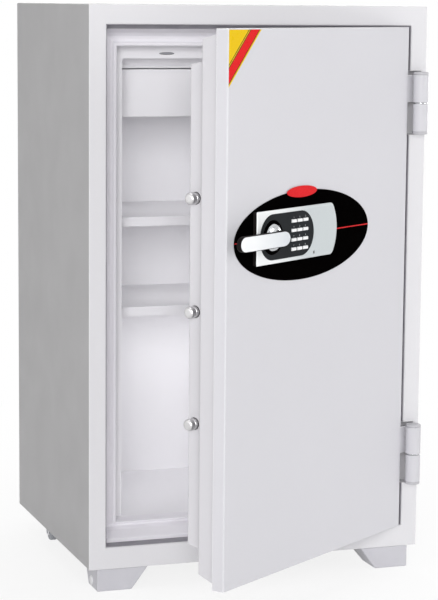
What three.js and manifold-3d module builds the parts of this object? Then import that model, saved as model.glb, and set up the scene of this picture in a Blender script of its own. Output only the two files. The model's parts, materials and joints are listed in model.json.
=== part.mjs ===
// A fireproof safe on feet and casters, with its door standing open.
// Millimetres, +Z up, the front faces -Y. The door is drawn shut, then turned open about its hinges.
import * as THREE from "three";
import { mergeVertices } from "three/addons/utils/BufferGeometryUtils.js";
import Module from "manifold-3d";

const wasm = await Module();
wasm.setup();

// Body
const bodyWidth = 555;
const bodyHeight = 875;
const bodyDepth = 465;
const groundGap = 36;
const casingSheet = 2;
const frameSheet = 2.2;
const seatGap = 0.3;

// Front frame: the flat lip round the door opening
const lipSide = 27;
const lipTop = 30;
const lipBottom = 34.6;
const frameReturn = 26;

// Door
const openAngle = 35.75;
const sideGap = 2.5;
const endGap = 2;
const panDepth = 19.1;
const panSheet = 1.5;
const flangeSheet = 2;
const plugStepStart = 7;
const plugStepEnd = 15;
const plugStepDepth = 36.4;
const plugSide = 36;
const plugEnd = 52.5;
const plugDepth = 92.6;
const plugWall = 3;
const layerGap = 0.1;

// Jamb and interior
const sealWidth = 7;
const noseSide = 34;
const noseBottom = 24.7;
const jambBehindPlug = 2;
const channelWall = 3;
const linerSheet = 1.8;
const linerSide = 52.2;
const linerTop = 53.8;
const linerDepth = 310;
const shelfSetback = 55;
const shelfThick = 15;
const shelfSheet = 1.2;
const shelfGap = 0.25;
const lowerShelfUp = 330.7;
const upperShelfUp = 476.7;
const lensFromMiddle = 125;
const lensHalfWidth = 13;
const lensHalfHeight = 2.3;

// Drawer
const drawerHeight = 75.6;
const drawerBelowTop = 18.9;
const drawerDepth = 230;
const drawerSheet = 1.2;
const drawerFrontThick = 3;
const drawerSideGap = 5;
const trayUp = 3;
const trayHeight = 55;
const drawerLockRadius = 7.8;
const drawerLockDepth = 14;
const railHeight = 17;
const railDepth = 14;
const runnerHeight = 26;
const runnerSeat = 15;
const runnerSheet = 1.6;
const runnerSetback = 5;

// Hinges
const hingeRadius = 12;
const hingeInset = 15;
const hingeForward = 14.5;
const knuckleHeight = 48;
const washerThick = 2.5;
const pinRadius = 4;
const lowerHingeUp = 121.4;
const upperHingeDown = 121.5;

// Locking bolts
const boltRadius = 8.8;
const boltReach = 18;
const boltThrow = 17.5;
const boltFromPlugBack = 13.1;
const boltNoseGap = 1.2;
const boltsBelowMiddle = 4.8;
const boltPitch = 165;
const boltTail = 66;
const barThick = 4;
const barHalfWidth = 8;
const barOverhang = 14;
const armSheet = 3;
const crankPinRadius = 4;
const crankSheet = 5;
const crankHalfWidth = 7;
const crankTail = 7.5;
const slotGap = 0.4;
const slotWall = 8;

// Lock and handle, measured from the door's free edge
const lockAboveMiddle = 104.2;
const ovalCentre = 198;
const ovalHalfWidth = 181;
const ovalHalfHeight = 66.5;
const ovalBelowLock = 4.3;
const lockStart = 63;
const lockEnd = 264;
const lockBulge = 13;
const lockHalfHeight = 39;
const baseInset = 0.6;
const panelStart = 69;
const panelEnd = 210.5;
const panelHalfHeight = 33.5;
const pivotFromEdge = 100;
const leverReach = 102.4;
const leverRadius = 11.3;
const keyPitchX = 15.5;
const keyPitchZ = 13.8;
const keyWidth = 12;
const keyHeight = 5;
const keyMiddle = 171.3;
const lampFromEdge = 213;
const lampBelowLock = 31.5;
const lampRadius = 1.4;
const spindleRadius = 6;

// Heights of the lock's layers in front of the door
const plateFront = 1.2;
const baseFront = 7.4;
const coverFront = 9.6;
const panelFront = 10.4;
const keyFront = 12;
const hubFront = 25.4;
const leverFront = 33.8;
const leverFaceFront = 35.6;
const hubGap = 0.25;
const hubRadius = 20;
const ringInner = 20.8;
const ringOuter = 25.5;

// Feet and casters
const footInset = 14;
const footTop = { width: 83, depth: 72 };
const footBottom = { width: 56, depth: 52 };
const footSetback = 3;
const footPlugRadius = 8.2;
const footPlugBack = 35;
const casterInset = 28;
const casterFromFront = 353;
const casterOffset = 15;
const wheelRadius = 15;
const wheelWidth = 12;
const casterPlateThick = 2.5;

// Worked-out places
const floorZ = groundGap;
const topZ = groundGap + bodyHeight;
const half = bodyWidth / 2;
const body = { x0: -half, x1: half, z0: floorZ, z1: topZ };
const opening = {
  x0: -half + lipSide,
  x1: half - lipSide,
  z0: floorZ + lipBottom,
  z1: topZ - lipTop,
};
const door = {
  x0: opening.x0 + sideGap,
  x1: opening.x1 - sideGap,
  z0: opening.z0 + endGap,
  z1: opening.z1 - endGap,
};
const interior = {
  x0: opening.x0 + linerSide,
  x1: opening.x1 - linerSide,
  z0: opening.z0 + noseBottom,
  z1: opening.z1 - linerTop,
};
const hingeX = half - hingeInset;
const hingeHeights = {
  lower: opening.z0 + lowerHingeUp,
  upper: opening.z1 - upperHingeDown,
};
const doorMiddle = (door.z0 + door.z1) / 2;
const boltMiddle = doorMiddle - boltsBelowMiddle;
const lockHeight = doorMiddle + lockAboveMiddle;
const ovalHeight = lockHeight - ovalBelowLock;
const lowerShelfTop = interior.z0 + lowerShelfUp;
const upperShelfTop = interior.z0 + upperShelfUp;
const drawerTop = interior.z1 - drawerBelowTop;
const plateDepth = panDepth + flangeSheet;
const stepBack = plateDepth + plugStepDepth;
const boltDepth = plugDepth - boltFromPlugBack;
const jambDepth = plugDepth + jambBehindPlug;
const flangeFront = jambDepth + 0.6;
const shelfFront = flangeFront + shelfSetback;
const linerBack = flangeFront + linerDepth;
const pivotX = door.x0 + pivotFromEdge;
const crankRadius = boltThrow;

// Looks
const paint = (color, roughness = 0.5) => ({ color, roughness, metalness: 0 });
const looks = {
  casing: paint(0xa8a7a7, 0.55),
  frame: paint(0xe4e4e8, 0.45),
  door: paint(0xdcdbe0, 0.45),
  jamb: paint(0xdedde2, 0.5),
  liner: paint(0xe6e6e8, 0.5),
  core: paint(0xb9b5ad, 0.95),
  rubber: paint(0x86848a, 0.8),
  foot: paint(0xcac9ce, 0.5),
  black: paint(0x0b0b0c, 0.35),
  panel: paint(0x303134, 0.4),
  silver: { color: 0xc9d1d1, roughness: 0.35, metalness: 0.6 },
  chrome: { color: 0xc2c4c6, roughness: 0.15, metalness: 1 },
  steel: { color: 0xb4b6ba, roughness: 0.35, metalness: 0.9 },
  key: paint(0xf4f4f4, 0.4),
  lever: { color: 0xe3e6ee, roughness: 0.3, metalness: 0.3 },
  tyre: paint(0x5a5a5a, 0.7),
};

const root = new THREE.Group();
root.name = "fireproof_safe";
const doorParts = [];

// Orients a triangle list outwards and returns a closed, merged geometry
function closedGeometry(points, faces) {
  let volume = 0;
  for (const [a, b, c] of faces) {
    volume += points[a].dot(points[b].clone().cross(points[c]));
  }
  const wound = volume < 0 ? faces.map(([a, b, c]) => [a, c, b]) : faces;
  const geometry = new THREE.BufferGeometry();
  geometry.setAttribute(
    "position",
    new THREE.Float32BufferAttribute(points.flatMap((p) => p.toArray()), 3),
  );
  geometry.setIndex(wound.flat());
  return geometry;
}

// Skins a row of loops with equal point counts; a row that isn't closed on itself gets flat ends
function skin(loops, closed = false) {
  const count = loops[0].length;
  const faces = [];
  const spans = closed ? loops.length : loops.length - 1;
  for (let row = 0; row < spans; row++) {
    const a = row * count;
    const b = ((row + 1) % loops.length) * count;
    for (let i = 0; i < count; i++) {
      const j = (i + 1) % count;
      faces.push([a + i, a + j, b + j], [a + i, b + j, b + i]);
    }
  }
  if (!closed) {
    const end = spans * count;
    for (let i = 1; i < count - 1; i++) {
      faces.push([0, i + 1, i], [end, end + i, end + i + 1]);
    }
  }
  return closedGeometry(loops.flat(), faces);
}

// A rounded rectangle as a list of points in its plane
function roundedRect(x0, x1, z0, z1, radius, steps = 3) {
  const points = [];
  const corners = [
    [x1 - radius, z1 - radius, 0],
    [x0 + radius, z1 - radius, 1],
    [x0 + radius, z0 + radius, 2],
    [x1 - radius, z0 + radius, 3],
  ];
  for (const [x, z, quarter] of corners) {
    for (let i = 0; i <= steps; i++) {
      const a = ((quarter + i / steps) * Math.PI) / 2;
      points.push([x + radius * Math.cos(a), z + radius * Math.sin(a)]);
    }
  }
  return points;
}

// A stadium: two round ends joined by straight sides
function stadium(x0, x1, z, radius, steps = 10) {
  const points = [];
  for (const [x, start] of [[x1 - radius, -0.5], [x0 + radius, 0.5]]) {
    for (let i = 0; i <= steps; i++) {
      const a = (start + i / steps) * Math.PI;
      points.push([x + radius * Math.cos(a), z + radius * Math.sin(a)]);
    }
  }
  return points;
}

function ellipse(x, z, a, b, steps = 56) {
  const points = [];
  for (let i = 0; i < steps; i++) {
    const t = (i / steps) * 2 * Math.PI;
    points.push([x + a * Math.cos(t), z + b * Math.sin(t)]);
  }
  return points;
}

const standing = (loop, y) => loop.map(([x, z]) => new THREE.Vector3(x, y, z));
const lying = (loop, z) => loop.map(([x, y]) => new THREE.Vector3(x, y, z));

// A loop inside a box, set in by its own amount at the sides, the top and the bottom
function insetLoop(box, inset, y, radius) {
  const { side, top, bottom } = inset;
  const loop = roundedRect(
    box.x0 + side,
    box.x1 - side,
    box.z0 + bottom,
    box.z1 - top,
    radius,
  );
  return standing(loop, y);
}

const even = (inset) => ({ side: inset, top: inset, bottom: inset });

// Boolean helpers
function toManifold(geometry) {
  const bare = geometry.clone();
  bare.deleteAttribute("normal");
  bare.deleteAttribute("uv");
  const merged = mergeVertices(bare, 1e-5);
  return new wasm.Manifold(
    new wasm.Mesh({
      numProp: 3,
      vertProperties: new Float32Array(merged.attributes.position.array),
      triVerts: new Uint32Array(merged.index.array),
    }),
  );
}

function fromManifold(manifold) {
  const mesh = manifold.getMesh();
  const geometry = new THREE.BufferGeometry();
  geometry.setAttribute("position", new THREE.Float32BufferAttribute(mesh.vertProperties, 3));
  geometry.setIndex(Array.from(mesh.triVerts));
  return geometry;
}

function cut(geometry, ...tools) {
  let result = toManifold(geometry);
  for (const tool of tools) {
    result = result.subtract(toManifold(tool));
  }
  return fromManifold(result);
}

function join(...pieces) {
  let result = toManifold(pieces[0]);
  for (const piece of pieces.slice(1)) {
    result = result.add(toManifold(piece));
  }
  return fromManifold(result);
}

function block(x0, x1, y0, y1, z0, z1) {
  const geometry = new THREE.BoxGeometry(x1 - x0, y1 - y0, z1 - z0);
  return geometry.translate((x0 + x1) / 2, (y0 + y1) / 2, (z0 + z1) / 2);
}

// A turned body about its own Y from a list of [radius, height], in whichever order it was drawn
function lathe(profile, segments) {
  let area = 0;
  profile.forEach(([r, h], i) => {
    const [nextR, nextH] = profile[(i + 1) % profile.length];
    area += r * nextH - nextR * h;
  });
  const upward = area > 0 ? profile : [...profile].reverse();
  const points = upward.map(([r, h]) => new THREE.Vector2(r, h));
  return new THREE.LatheGeometry(points, segments);
}

const turned = (profile, segments = 32) => lathe(profile, segments).rotateX(Math.PI / 2);

// A turned body about the door's outward direction, its heights counted in front of the door
function turnedForward(profile, x, z, segments = 32) {
  return lathe(profile, segments).rotateZ(Math.PI).translate(x, 0, z);
}

function roundBar(radius, y0, y1, x, z, segments = 28) {
  return turnedForward([[0, -y1], [radius, -y1], [radius, -y0], [0, -y0]], x, z, segments);
}

// A flat shape with thickness between two heights in front of the door, its front edge bevelled
function slab(loopAt, back, front, bevel = 0) {
  const loops = [standing(loopAt(0), -back)];
  if (bevel > 0) {
    loops.push(standing(loopAt(0), -(front - bevel)), standing(loopAt(bevel), -front));
  } else {
    loops.push(standing(loopAt(0), -front));
  }
  return skin(loops);
}

function add(name, geometry, look) {
  const flat = geometry.index ? geometry.toNonIndexed() : geometry;
  flat.computeVertexNormals();
  const mesh = new THREE.Mesh(flat, new THREE.MeshStandardMaterial(look));
  mesh.name = name;
  root.add(mesh);
  return mesh;
}

function addToDoor(name, geometry, look) {
  doorParts.push(add(name, geometry, look));
}

// Both hinge notches in the lip on the hinge side
function hingeNotches() {
  return Object.values(hingeHeights).map((middle) => {
    const reach = knuckleHeight + washerThick / 2 + 2;
    return block(
      opening.x1 - 4,
      opening.x1 + 19,
      -2,
      plateDepth + 2,
      middle - reach,
      middle + reach,
    );
  });
}

function outerCasing() {
  const wall = even(casingSheet);
  const front = frameSheet + seatGap;
  const geometry = skin([
    insetLoop(body, wall, bodyDepth - casingSheet, 3),
    insetLoop(body, wall, front, 3),
    insetLoop(body, even(0), front, 4),
    insetLoop(body, even(0), bodyDepth - 2, 4),
    insetLoop(body, even(1.6), bodyDepth, 3),
  ]);
  add("outer_casing", geometry, looks.casing);
}

function frontFrame() {
  const outer = (grow) => ({
    side: grow - lipSide,
    top: grow - lipTop,
    bottom: grow - lipBottom,
  });
  const ring = skin(
    [
      insetLoop(opening, outer(1), 0, 4),
      insetLoop(opening, even(-1), 0, 3),
      insetLoop(opening, even(0), 1, 2.5),
      insetLoop(opening, even(0), frameReturn, 2.5),
      insetLoop(opening, even(-frameSheet), frameReturn, 3.5),
      insetLoop(opening, even(-frameSheet), frameSheet, 3.5),
      insetLoop(opening, outer(0), frameSheet, 4),
      insetLoop(opening, outer(0), 1, 4),
    ],
    true,
  );
  add("front_frame", cut(ring, ...hingeNotches()), looks.frame);
}

function doorSeal() {
  const front = plateDepth + 1.6;
  const back = front + 1.2;
  const thick = 1;
  const flange = { side: sealWidth, top: sealWidth, bottom: thick + 0.6 };
  const ring = skin(
    [
      insetLoop(opening, even(0.15), 2, 2.4),
      insetLoop(opening, even(0.15 + thick), 2, 2),
      insetLoop(opening, even(0.15 + thick), front, 2),
      insetLoop(opening, flange, front, 1.5),
      insetLoop(opening, flange, back, 1.5),
      insetLoop(opening, even(0.15), back, 2.4),
    ],
    true,
  );
  add("door_seal", cut(ring, ...hingeNotches()), looks.rubber);
}

// The coved ring between the front frame and the liner, and behind its nose the bolts' channel
function jambMoulding() {
  const start = plateDepth + 1.6 + 1.2 + 0.3;
  const noseBack = boltDepth - boltRadius - boltNoseGap;
  const noseAt = (share) => stepBack + share * (noseBack - stepBack);
  const nose = (inset) => {
    const flat = plugStepEnd + 1;
    const share = (noseBottom - flat) / (noseSide - flat);
    return { side: inset, top: inset, bottom: flat + (inset - flat) * share };
  };
  const behind = (side) => ({ side, top: side, bottom: noseBottom });
  const stepIn = plugStepStart + 0.2;
  const stepOut = plugStepEnd + 0.2;
  const channelOut = stepOut - channelWall;
  const ring = skin(
    [
      insetLoop(opening, even(0.4), start, 2),
      insetLoop(opening, even(stepIn), start, 2),
      insetLoop(opening, even(stepOut), stepBack + 0.6, 3),
      insetLoop(opening, even(plugStepEnd + 1), stepBack + 1.6, 3),
      insetLoop(opening, nose(noseSide - 14), noseAt(1.9 / 12), 4),
      insetLoop(opening, nose(noseSide - 9), noseAt(3 / 12), 4),
      insetLoop(opening, nose(noseSide - 4.5), noseAt(4.8 / 12), 5),
      insetLoop(opening, nose(noseSide - 1.4), noseAt(7 / 12), 5),
      insetLoop(opening, nose(noseSide), noseAt(9 / 12), 5),
      insetLoop(opening, behind(noseSide - 1), noseAt(11 / 12), 5),
      insetLoop(opening, behind(stepOut + channelWall), noseBack, 4),
      insetLoop(opening, even(channelOut), noseBack, 4),
      insetLoop(opening, even(channelOut), stepBack + 2, 4),
      insetLoop(opening, even(stepIn - 3), start + 3, 3),
      insetLoop(opening, even(0.4), start + 3, 2),
    ],
    true,
  );
  add("jamb_moulding", ring, looks.jamb);

  const channelFront = noseBack + seatGap;
  const outside = { side: channelOut, top: channelOut, bottom: noseBottom - channelWall };
  const channel = skin(
    [
      insetLoop(opening, behind(stepOut), channelFront, 3),
      insetLoop(opening, behind(stepOut), jambDepth, 3),
      insetLoop(opening, outside, jambDepth, 4),
      insetLoop(opening, outside, channelFront, 4),
    ],
    true,
  );
  add("bolt_channel", channel, looks.jamb);
}

function innerLiner() {
  const back = linerBack;
  const flangeBack = flangeFront + linerSheet;
  const grown = even(-linerSheet);
  const cup = skin([
    insetLoop(interior, even(0), back, 4),
    insetLoop(interior, even(0), flangeFront, 4),
    insetLoop(opening, even(1), flangeFront, 4),
    insetLoop(opening, even(1), flangeBack, 4),
    insetLoop(interior, grown, flangeBack, 5),
    insetLoop(interior, grown, back + linerSheet, 5),
  ]);
  const slotZ = (opening.z1 - noseSide + interior.z1) / 2 - 2.5;
  const lens = ellipse(-lensFromMiddle, slotZ, lensHalfWidth, lensHalfHeight, 20);
  const slot = skin([
    standing(lens, flangeFront - 1),
    standing(lens, flangeBack + 1),
  ]);
  add("inner_liner", cut(cup, slot), looks.liner);
}

function fireInsulation() {
  const outside = even(casingSheet + seatGap);
  const inside = even(-(linerSheet + seatGap));
  const flangeBack = flangeFront + linerSheet + seatGap;
  const frontFace = frameReturn + 2.5;
  const geometry = skin([
    insetLoop(interior, inside, linerBack + linerSheet + seatGap, 5),
    insetLoop(interior, inside, flangeBack, 5),
    insetLoop(opening, even(-frameSheet - 0.4), flangeBack, 4),
    insetLoop(opening, even(-frameSheet - 0.4), frontFace, 4),
    insetLoop(body, outside, frontFace, 3),
    insetLoop(body, outside, bodyDepth - casingSheet - seatGap, 3),
  ]);
  add("fire_insulation", geometry, looks.core);
}

// A front foot: upright in front and outside, sloping inside and behind
function foot(name, sign) {
  const outer = half - footInset;
  const at = (size, radius, z) => {
    const near = outer - size.width;
    const loop = roundedRect(near, outer, footSetback, footSetback + size.depth, radius, 2);
    return lying(loop.map(([x, y]) => [sign * x, y]), z);
  };
  add(`${name}_foot`, skin([at(footBottom, 2, 0), at(footTop, 2, floorZ)]), looks.foot);
  const disc = turned([[0, 0], [footPlugRadius, 0], [footPlugRadius - 0.6, 1.4], [0, 1.4]], 28);
  disc.rotateY((sign * Math.PI) / 2);
  disc.translate(sign * outer, footSetback + footPlugBack, footPlugRadius + 1.8);
  add(`${name}_foot_plug`, disc, looks.foot);
}

function caster(name, sign) {
  const x = sign * (half - casterInset);
  const plateUnder = floorZ - casterPlateThick;
  const forkTop = plateUnder - seatGap;
  const stemRadius = 4;
  const plate = block(x - 21, x + 21, casterFromFront - 24, casterFromFront + 24, plateUnder, floorZ);
  const hole = turned([[0, -1], [stemRadius + 0.4, -1], [stemRadius + 0.4, 9], [0, 9]], 24);
  hole.translate(x, casterFromFront, plateUnder);
  add(`${name}_caster_plate`, cut(plate, hole), looks.steel);

  const wheelY = casterFromFront - casterOffset;
  const cheekIn = wheelWidth / 2 + 1;
  const cheekOut = cheekIn + 2;
  const deckUnder = forkTop - 2.2;
  const cheek = new THREE.Shape(
    [
      [casterFromFront + 12, forkTop],
      [wheelY + 3, forkTop],
      [wheelY - 5, wheelRadius + 5],
      [wheelY - 5, wheelRadius - 5],
      [wheelY + 5, wheelRadius - 5],
      [casterFromFront - 3, wheelRadius + 3],
      [casterFromFront + 9, deckUnder - 3],
    ].map(([y, z]) => new THREE.Vector2(y, z)),
  );
  const cheeks = [-cheekOut, cheekIn].map((from) => {
    const side = new THREE.ExtrudeGeometry(cheek, { depth: 2, bevelEnabled: false });
    return side.applyMatrix4(
      new THREE.Matrix4().set(0, 0, 1, x + from, 1, 0, 0, 0, 0, 1, 0, 0, 0, 0, 0, 1),
    );
  });
  const deck = block(
    x - cheekOut,
    x + cheekOut,
    wheelY + 3,
    casterFromFront + 12,
    deckUnder,
    forkTop,
  );
  const stem = turned(
    [[0, 0], [stemRadius, 0], [stemRadius, floorZ - forkTop + 0.7], [0, floorZ - forkTop + 0.7]],
    24,
  );
  stem.translate(x, casterFromFront, forkTop - 1);
  const axleHole = turned([[0, -20], [3.3, -20], [3.3, 20], [0, 20]], 20);
  axleHole.rotateY(Math.PI / 2).translate(x, wheelY, wheelRadius);
  const fork = cut(join(deck, ...cheeks, stem), axleHole);
  add(`${name}_caster_fork`, fork, looks.steel);

  const w = wheelWidth / 2;
  const wheel = turned(
    [
      [0, -cheekOut - 0.6],
      [3, -cheekOut - 0.6],
      [3, -w - 0.5],
      [wheelRadius - 5, -w - 0.5],
      [wheelRadius - 4, -w],
      [wheelRadius - 1.2, -w],
      [wheelRadius, -w + 1.5],
      [wheelRadius, w - 1.5],
      [wheelRadius - 1.2, w],
      [wheelRadius - 4, w],
      [wheelRadius - 5, w + 0.5],
      [3, w + 0.5],
      [3, cheekOut + 0.6],
      [0, cheekOut + 0.6],
    ],
    32,
  );
  wheel.rotateY(Math.PI / 2).translate(x, wheelY, wheelRadius);
  add(`${name}_caster_wheel`, wheel, looks.tyre);
}

// One lift-off hinge: the frame's knuckle below, the door's above, a pin and a washer between
function hinge(name, middle) {
  const low = middle - washerThick / 2;
  const high = middle + washerThick / 2;
  const chamfer = 1.4;
  const bore = pinRadius + 0.3;
  const pinBottom = low - knuckleHeight + 8;
  const pinTop = high + knuckleHeight - 10;
  const r = hingeRadius;

  const frameBarrel = turned([
    [0, low - knuckleHeight],
    [r - chamfer, low - knuckleHeight],
    [r, low - knuckleHeight + chamfer],
    [r, low],
    [bore, low],
    [bore, pinBottom - 0.3],
    [0, pinBottom - 0.3],
  ]).translate(hingeX, -hingeForward, 0);
  const stand = block(
    hingeX - 2,
    half - 1.5,
    -hingeForward + r - 2,
    0,
    low - knuckleHeight + chamfer,
    low,
  );
  add(`${name}_frame_knuckle`, join(frameBarrel, stand), looks.frame);

  const doorBarrel = turned([
    [0, high + knuckleHeight],
    [r - chamfer, high + knuckleHeight],
    [r, high + knuckleHeight - chamfer],
    [r, high],
    [bore, high],
    [bore, pinTop + 0.5],
    [0, pinTop + 0.5],
  ]).translate(hingeX, -hingeForward, 0);
  const leafBack = 5;
  const leaf = block(door.x1 + 0.25, hingeX + 3, 0.2, leafBack, high + 0.2, high + knuckleHeight - 1);
  const web = block(hingeX - 5.5, hingeX + 3, -6, leafBack, high + 0.2, high + knuckleHeight - 1);
  addToDoor(`${name}_door_knuckle`, join(doorBarrel, leaf, web), looks.door);

  const pin = turned([
    [0, pinBottom],
    [pinRadius, pinBottom],
    [pinRadius, pinTop - 1.5],
    [pinRadius - 1.5, pinTop],
    [0, pinTop],
  ], 24).translate(hingeX, -hingeForward, 0);
  add(`${name}_hinge_pin`, pin, looks.steel);

  const washer = turned([
    [pinRadius + 0.4, low],
    [r - 1.2, low],
    [r - 1.2, high - 0.25],
    [pinRadius + 0.4, high - 0.25],
    [pinRadius + 0.4, low],
  ]).translate(hingeX, -hingeForward, 0);
  add(`${name}_hinge_washer`, washer, looks.steel);
}

// A folded sheet shelf: a shallow tray turned over
function shelf(name, top) {
  const gap = shelfGap;
  const back = linerBack - gap;
  const at = (inset, z) => {
    const loop = roundedRect(
      interior.x0 + gap + inset,
      interior.x1 - gap - inset,
      shelfFront + inset,
      back - inset,
      1.5,
      2,
    );
    return lying(loop, z);
  };
  const geometry = skin([
    at(shelfSheet, top - shelfSheet),
    at(shelfSheet, top - shelfThick),
    at(0, top - shelfThick),
    at(0, top - 1),
    at(0.8, top),
  ]);
  add(name, geometry, looks.liner);
}

function drawer() {
  const frontX = interior.x1 - 1;
  const trayX = interior.x1 - drawerSideGap;
  const bottom = drawerTop - drawerHeight;
  const y0 = shelfFront;
  const trayFloor = bottom + trayUp;
  const trayTop = trayFloor + trayHeight;
  const rim = (inset, z) =>
    lying(
      roundedRect(-trayX + inset, trayX - inset, y0 + 1 + inset, y0 + drawerDepth - inset, 2, 2),
      z,
    );
  const tray = skin([
    rim(drawerSheet, trayFloor + drawerSheet),
    rim(drawerSheet, trayTop),
    rim(0, trayTop),
    rim(0, trayFloor),
  ]);
  const face = slab(
    (i) => roundedRect(-frontX + i, frontX - i, bottom + i, drawerTop - i, 2, 2),
    -(y0 + drawerFrontThick),
    -y0,
    0.8,
  );
  const lockZ = (bottom + drawerTop) / 2;
  const lockHole = roundBar(drawerLockRadius + 0.4, y0 - 3, y0 + 8, 0, lockZ);
  add("drawer", cut(join(tray, face), lockHole), looks.liner);

  const lock = turnedForward(
    [[0, -(y0 + drawerLockDepth)], [drawerLockRadius, -(y0 + drawerLockDepth)],
      [drawerLockRadius, -(y0 - 0.2)], [drawerLockRadius + 2.2, -(y0 - 0.2)],
      [drawerLockRadius + 2.2, -(y0 - 2)], [drawerLockRadius + 1, -(y0 - 3)], [0, -(y0 - 3)]],
    0,
    lockZ,
    28,
  );
  const slot = block(-0.7, 0.7, y0 - 4, y0 - 0.5, lockZ - 4, lockZ + 4);
  add("drawer_lock", cut(lock, slot), looks.chrome);

  const railTop = interior.z1 - 0.2;
  const railX = interior.x1 - 0.2;
  const railLoop = (i) =>
    roundedRect(-railX + i, railX - i, railTop - railHeight + i, railTop - i, 4.2);
  add("drawer_top_rail", slab(railLoop, -(y0 + railDepth), -y0, 0.8), looks.liner);

  for (const [side, sign] of [["left", -1], ["right", 1]]) {
    const wallX = interior.x1 - 0.2;
    const runner = new THREE.Shape(
      [
        [wallX, trayFloor + runnerHeight],
        [wallX - runnerSheet, trayFloor + runnerHeight],
        [wallX - runnerSheet, trayFloor - seatGap],
        [wallX - runnerSeat, trayFloor - seatGap],
        [wallX - runnerSeat, trayFloor - seatGap - runnerSheet - 0.1],
        [wallX, trayFloor - seatGap - runnerSheet - 0.1],
      ].map(([x, z]) => new THREE.Vector2(sign * x, z)),
    );
    const long = linerBack - y0 - 2 * runnerSetback;
    const geometry = new THREE.ExtrudeGeometry(runner, { depth: long, bevelEnabled: false });
    geometry.rotateX(Math.PI / 2).translate(0, y0 + runnerSetback + long, 0);
    add(`${side}_drawer_runner`, geometry, looks.steel);
  }
}

function doorPan() {
  const wall = even(panSheet);
  const pan = skin([
    insetLoop(door, wall, panSheet, 2),
    insetLoop(door, wall, panDepth, 2),
    insetLoop(door, even(0), panDepth, 3),
    insetLoop(door, even(0), 1.8, 3),
    insetLoop(door, even(0.6), 0.5, 3),
    insetLoop(door, even(1.8), 0, 2),
  ]);
  const hole = roundBar(spindleRadius + 1, -1, panSheet + 1, pivotX, lockHeight);
  addToDoor("door_skin", cut(pan, hole), looks.door);
}

function doorCore() {
  const fill = panSheet + seatGap;
  const stepIn = plugStepStart + plugWall + 0.8;
  const stepOut = plugStepEnd + plugWall + 0.8;
  const core = skin([
    insetLoop(door, even(fill), fill, 2),
    insetLoop(door, even(fill), panDepth - 0.2, 2),
    insetLoop(door, even(stepIn), panDepth - 0.2, 2),
    insetLoop(door, even(stepOut), stepBack - plugWall - 0.8, 2),
  ]);
  const hole = roundBar(spindleRadius + 1, 0, stepBack, pivotX, lockHeight);
  addToDoor("door_core", cut(core, hole), looks.core);
}

// The plug behind the door plate: two steps, hollow, open towards the plate
function doorPlug() {
  const end = (side, other) => ({ side, top: other, bottom: other });
  const w = plugWall;
  const lean = 5;
  const outer = [
    insetLoop(door, even(0.3), panDepth + layerGap, 3),
    insetLoop(door, even(0.3), plateDepth, 3),
    insetLoop(door, even(plugStepStart - 1), plateDepth, 3),
    insetLoop(door, even(plugStepStart), plateDepth + 1, 4),
    insetLoop(door, even(plugStepEnd - 0.8), stepBack - 3, 5),
    insetLoop(door, even(plugStepEnd + 0.6), stepBack - 0.8, 5),
    insetLoop(door, even(plugStepEnd + 3), stepBack, 5),
    insetLoop(door, end(plugSide - 3, plugEnd - lean - 2), stepBack, 5),
    insetLoop(door, end(plugSide - 1.4, plugEnd - lean), stepBack + 1.6, 5),
    insetLoop(door, end(plugSide, plugEnd), plugDepth - 3, 6),
    insetLoop(door, end(plugSide + 0.9, plugEnd + 1.2), plugDepth - 0.9, 6),
    insetLoop(door, end(plugSide + 3, plugEnd + 3.5), plugDepth, 6),
  ];
  const inner = [
    insetLoop(door, end(plugSide + w, plugEnd + w), plugDepth - w, 3),
    insetLoop(door, end(plugSide + w, plugEnd - lean + w + 1), stepBack - w, 3),
    insetLoop(door, even(plugStepEnd + w), stepBack - w, 3),
    insetLoop(door, even(plugStepStart + w), panDepth + layerGap, 3),
  ];
  const holeRadius = boltRadius + 0.5;
  const holeEnd = plugSide + w + 5;
  const holes = boltHeights().map((z) => {
    const hole = turned([[0, 0], [holeRadius, 0], [holeRadius, holeEnd], [0, holeEnd]], 28);
    return hole.rotateY(Math.PI / 2).translate(door.x0, boltDepth, z);
  });
  addToDoor("door_plug", cut(skin([...inner, ...outer]), ...holes), looks.jamb);
}

function boltHeights() {
  return [boltMiddle - boltPitch, boltMiddle, boltMiddle + boltPitch];
}

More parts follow.
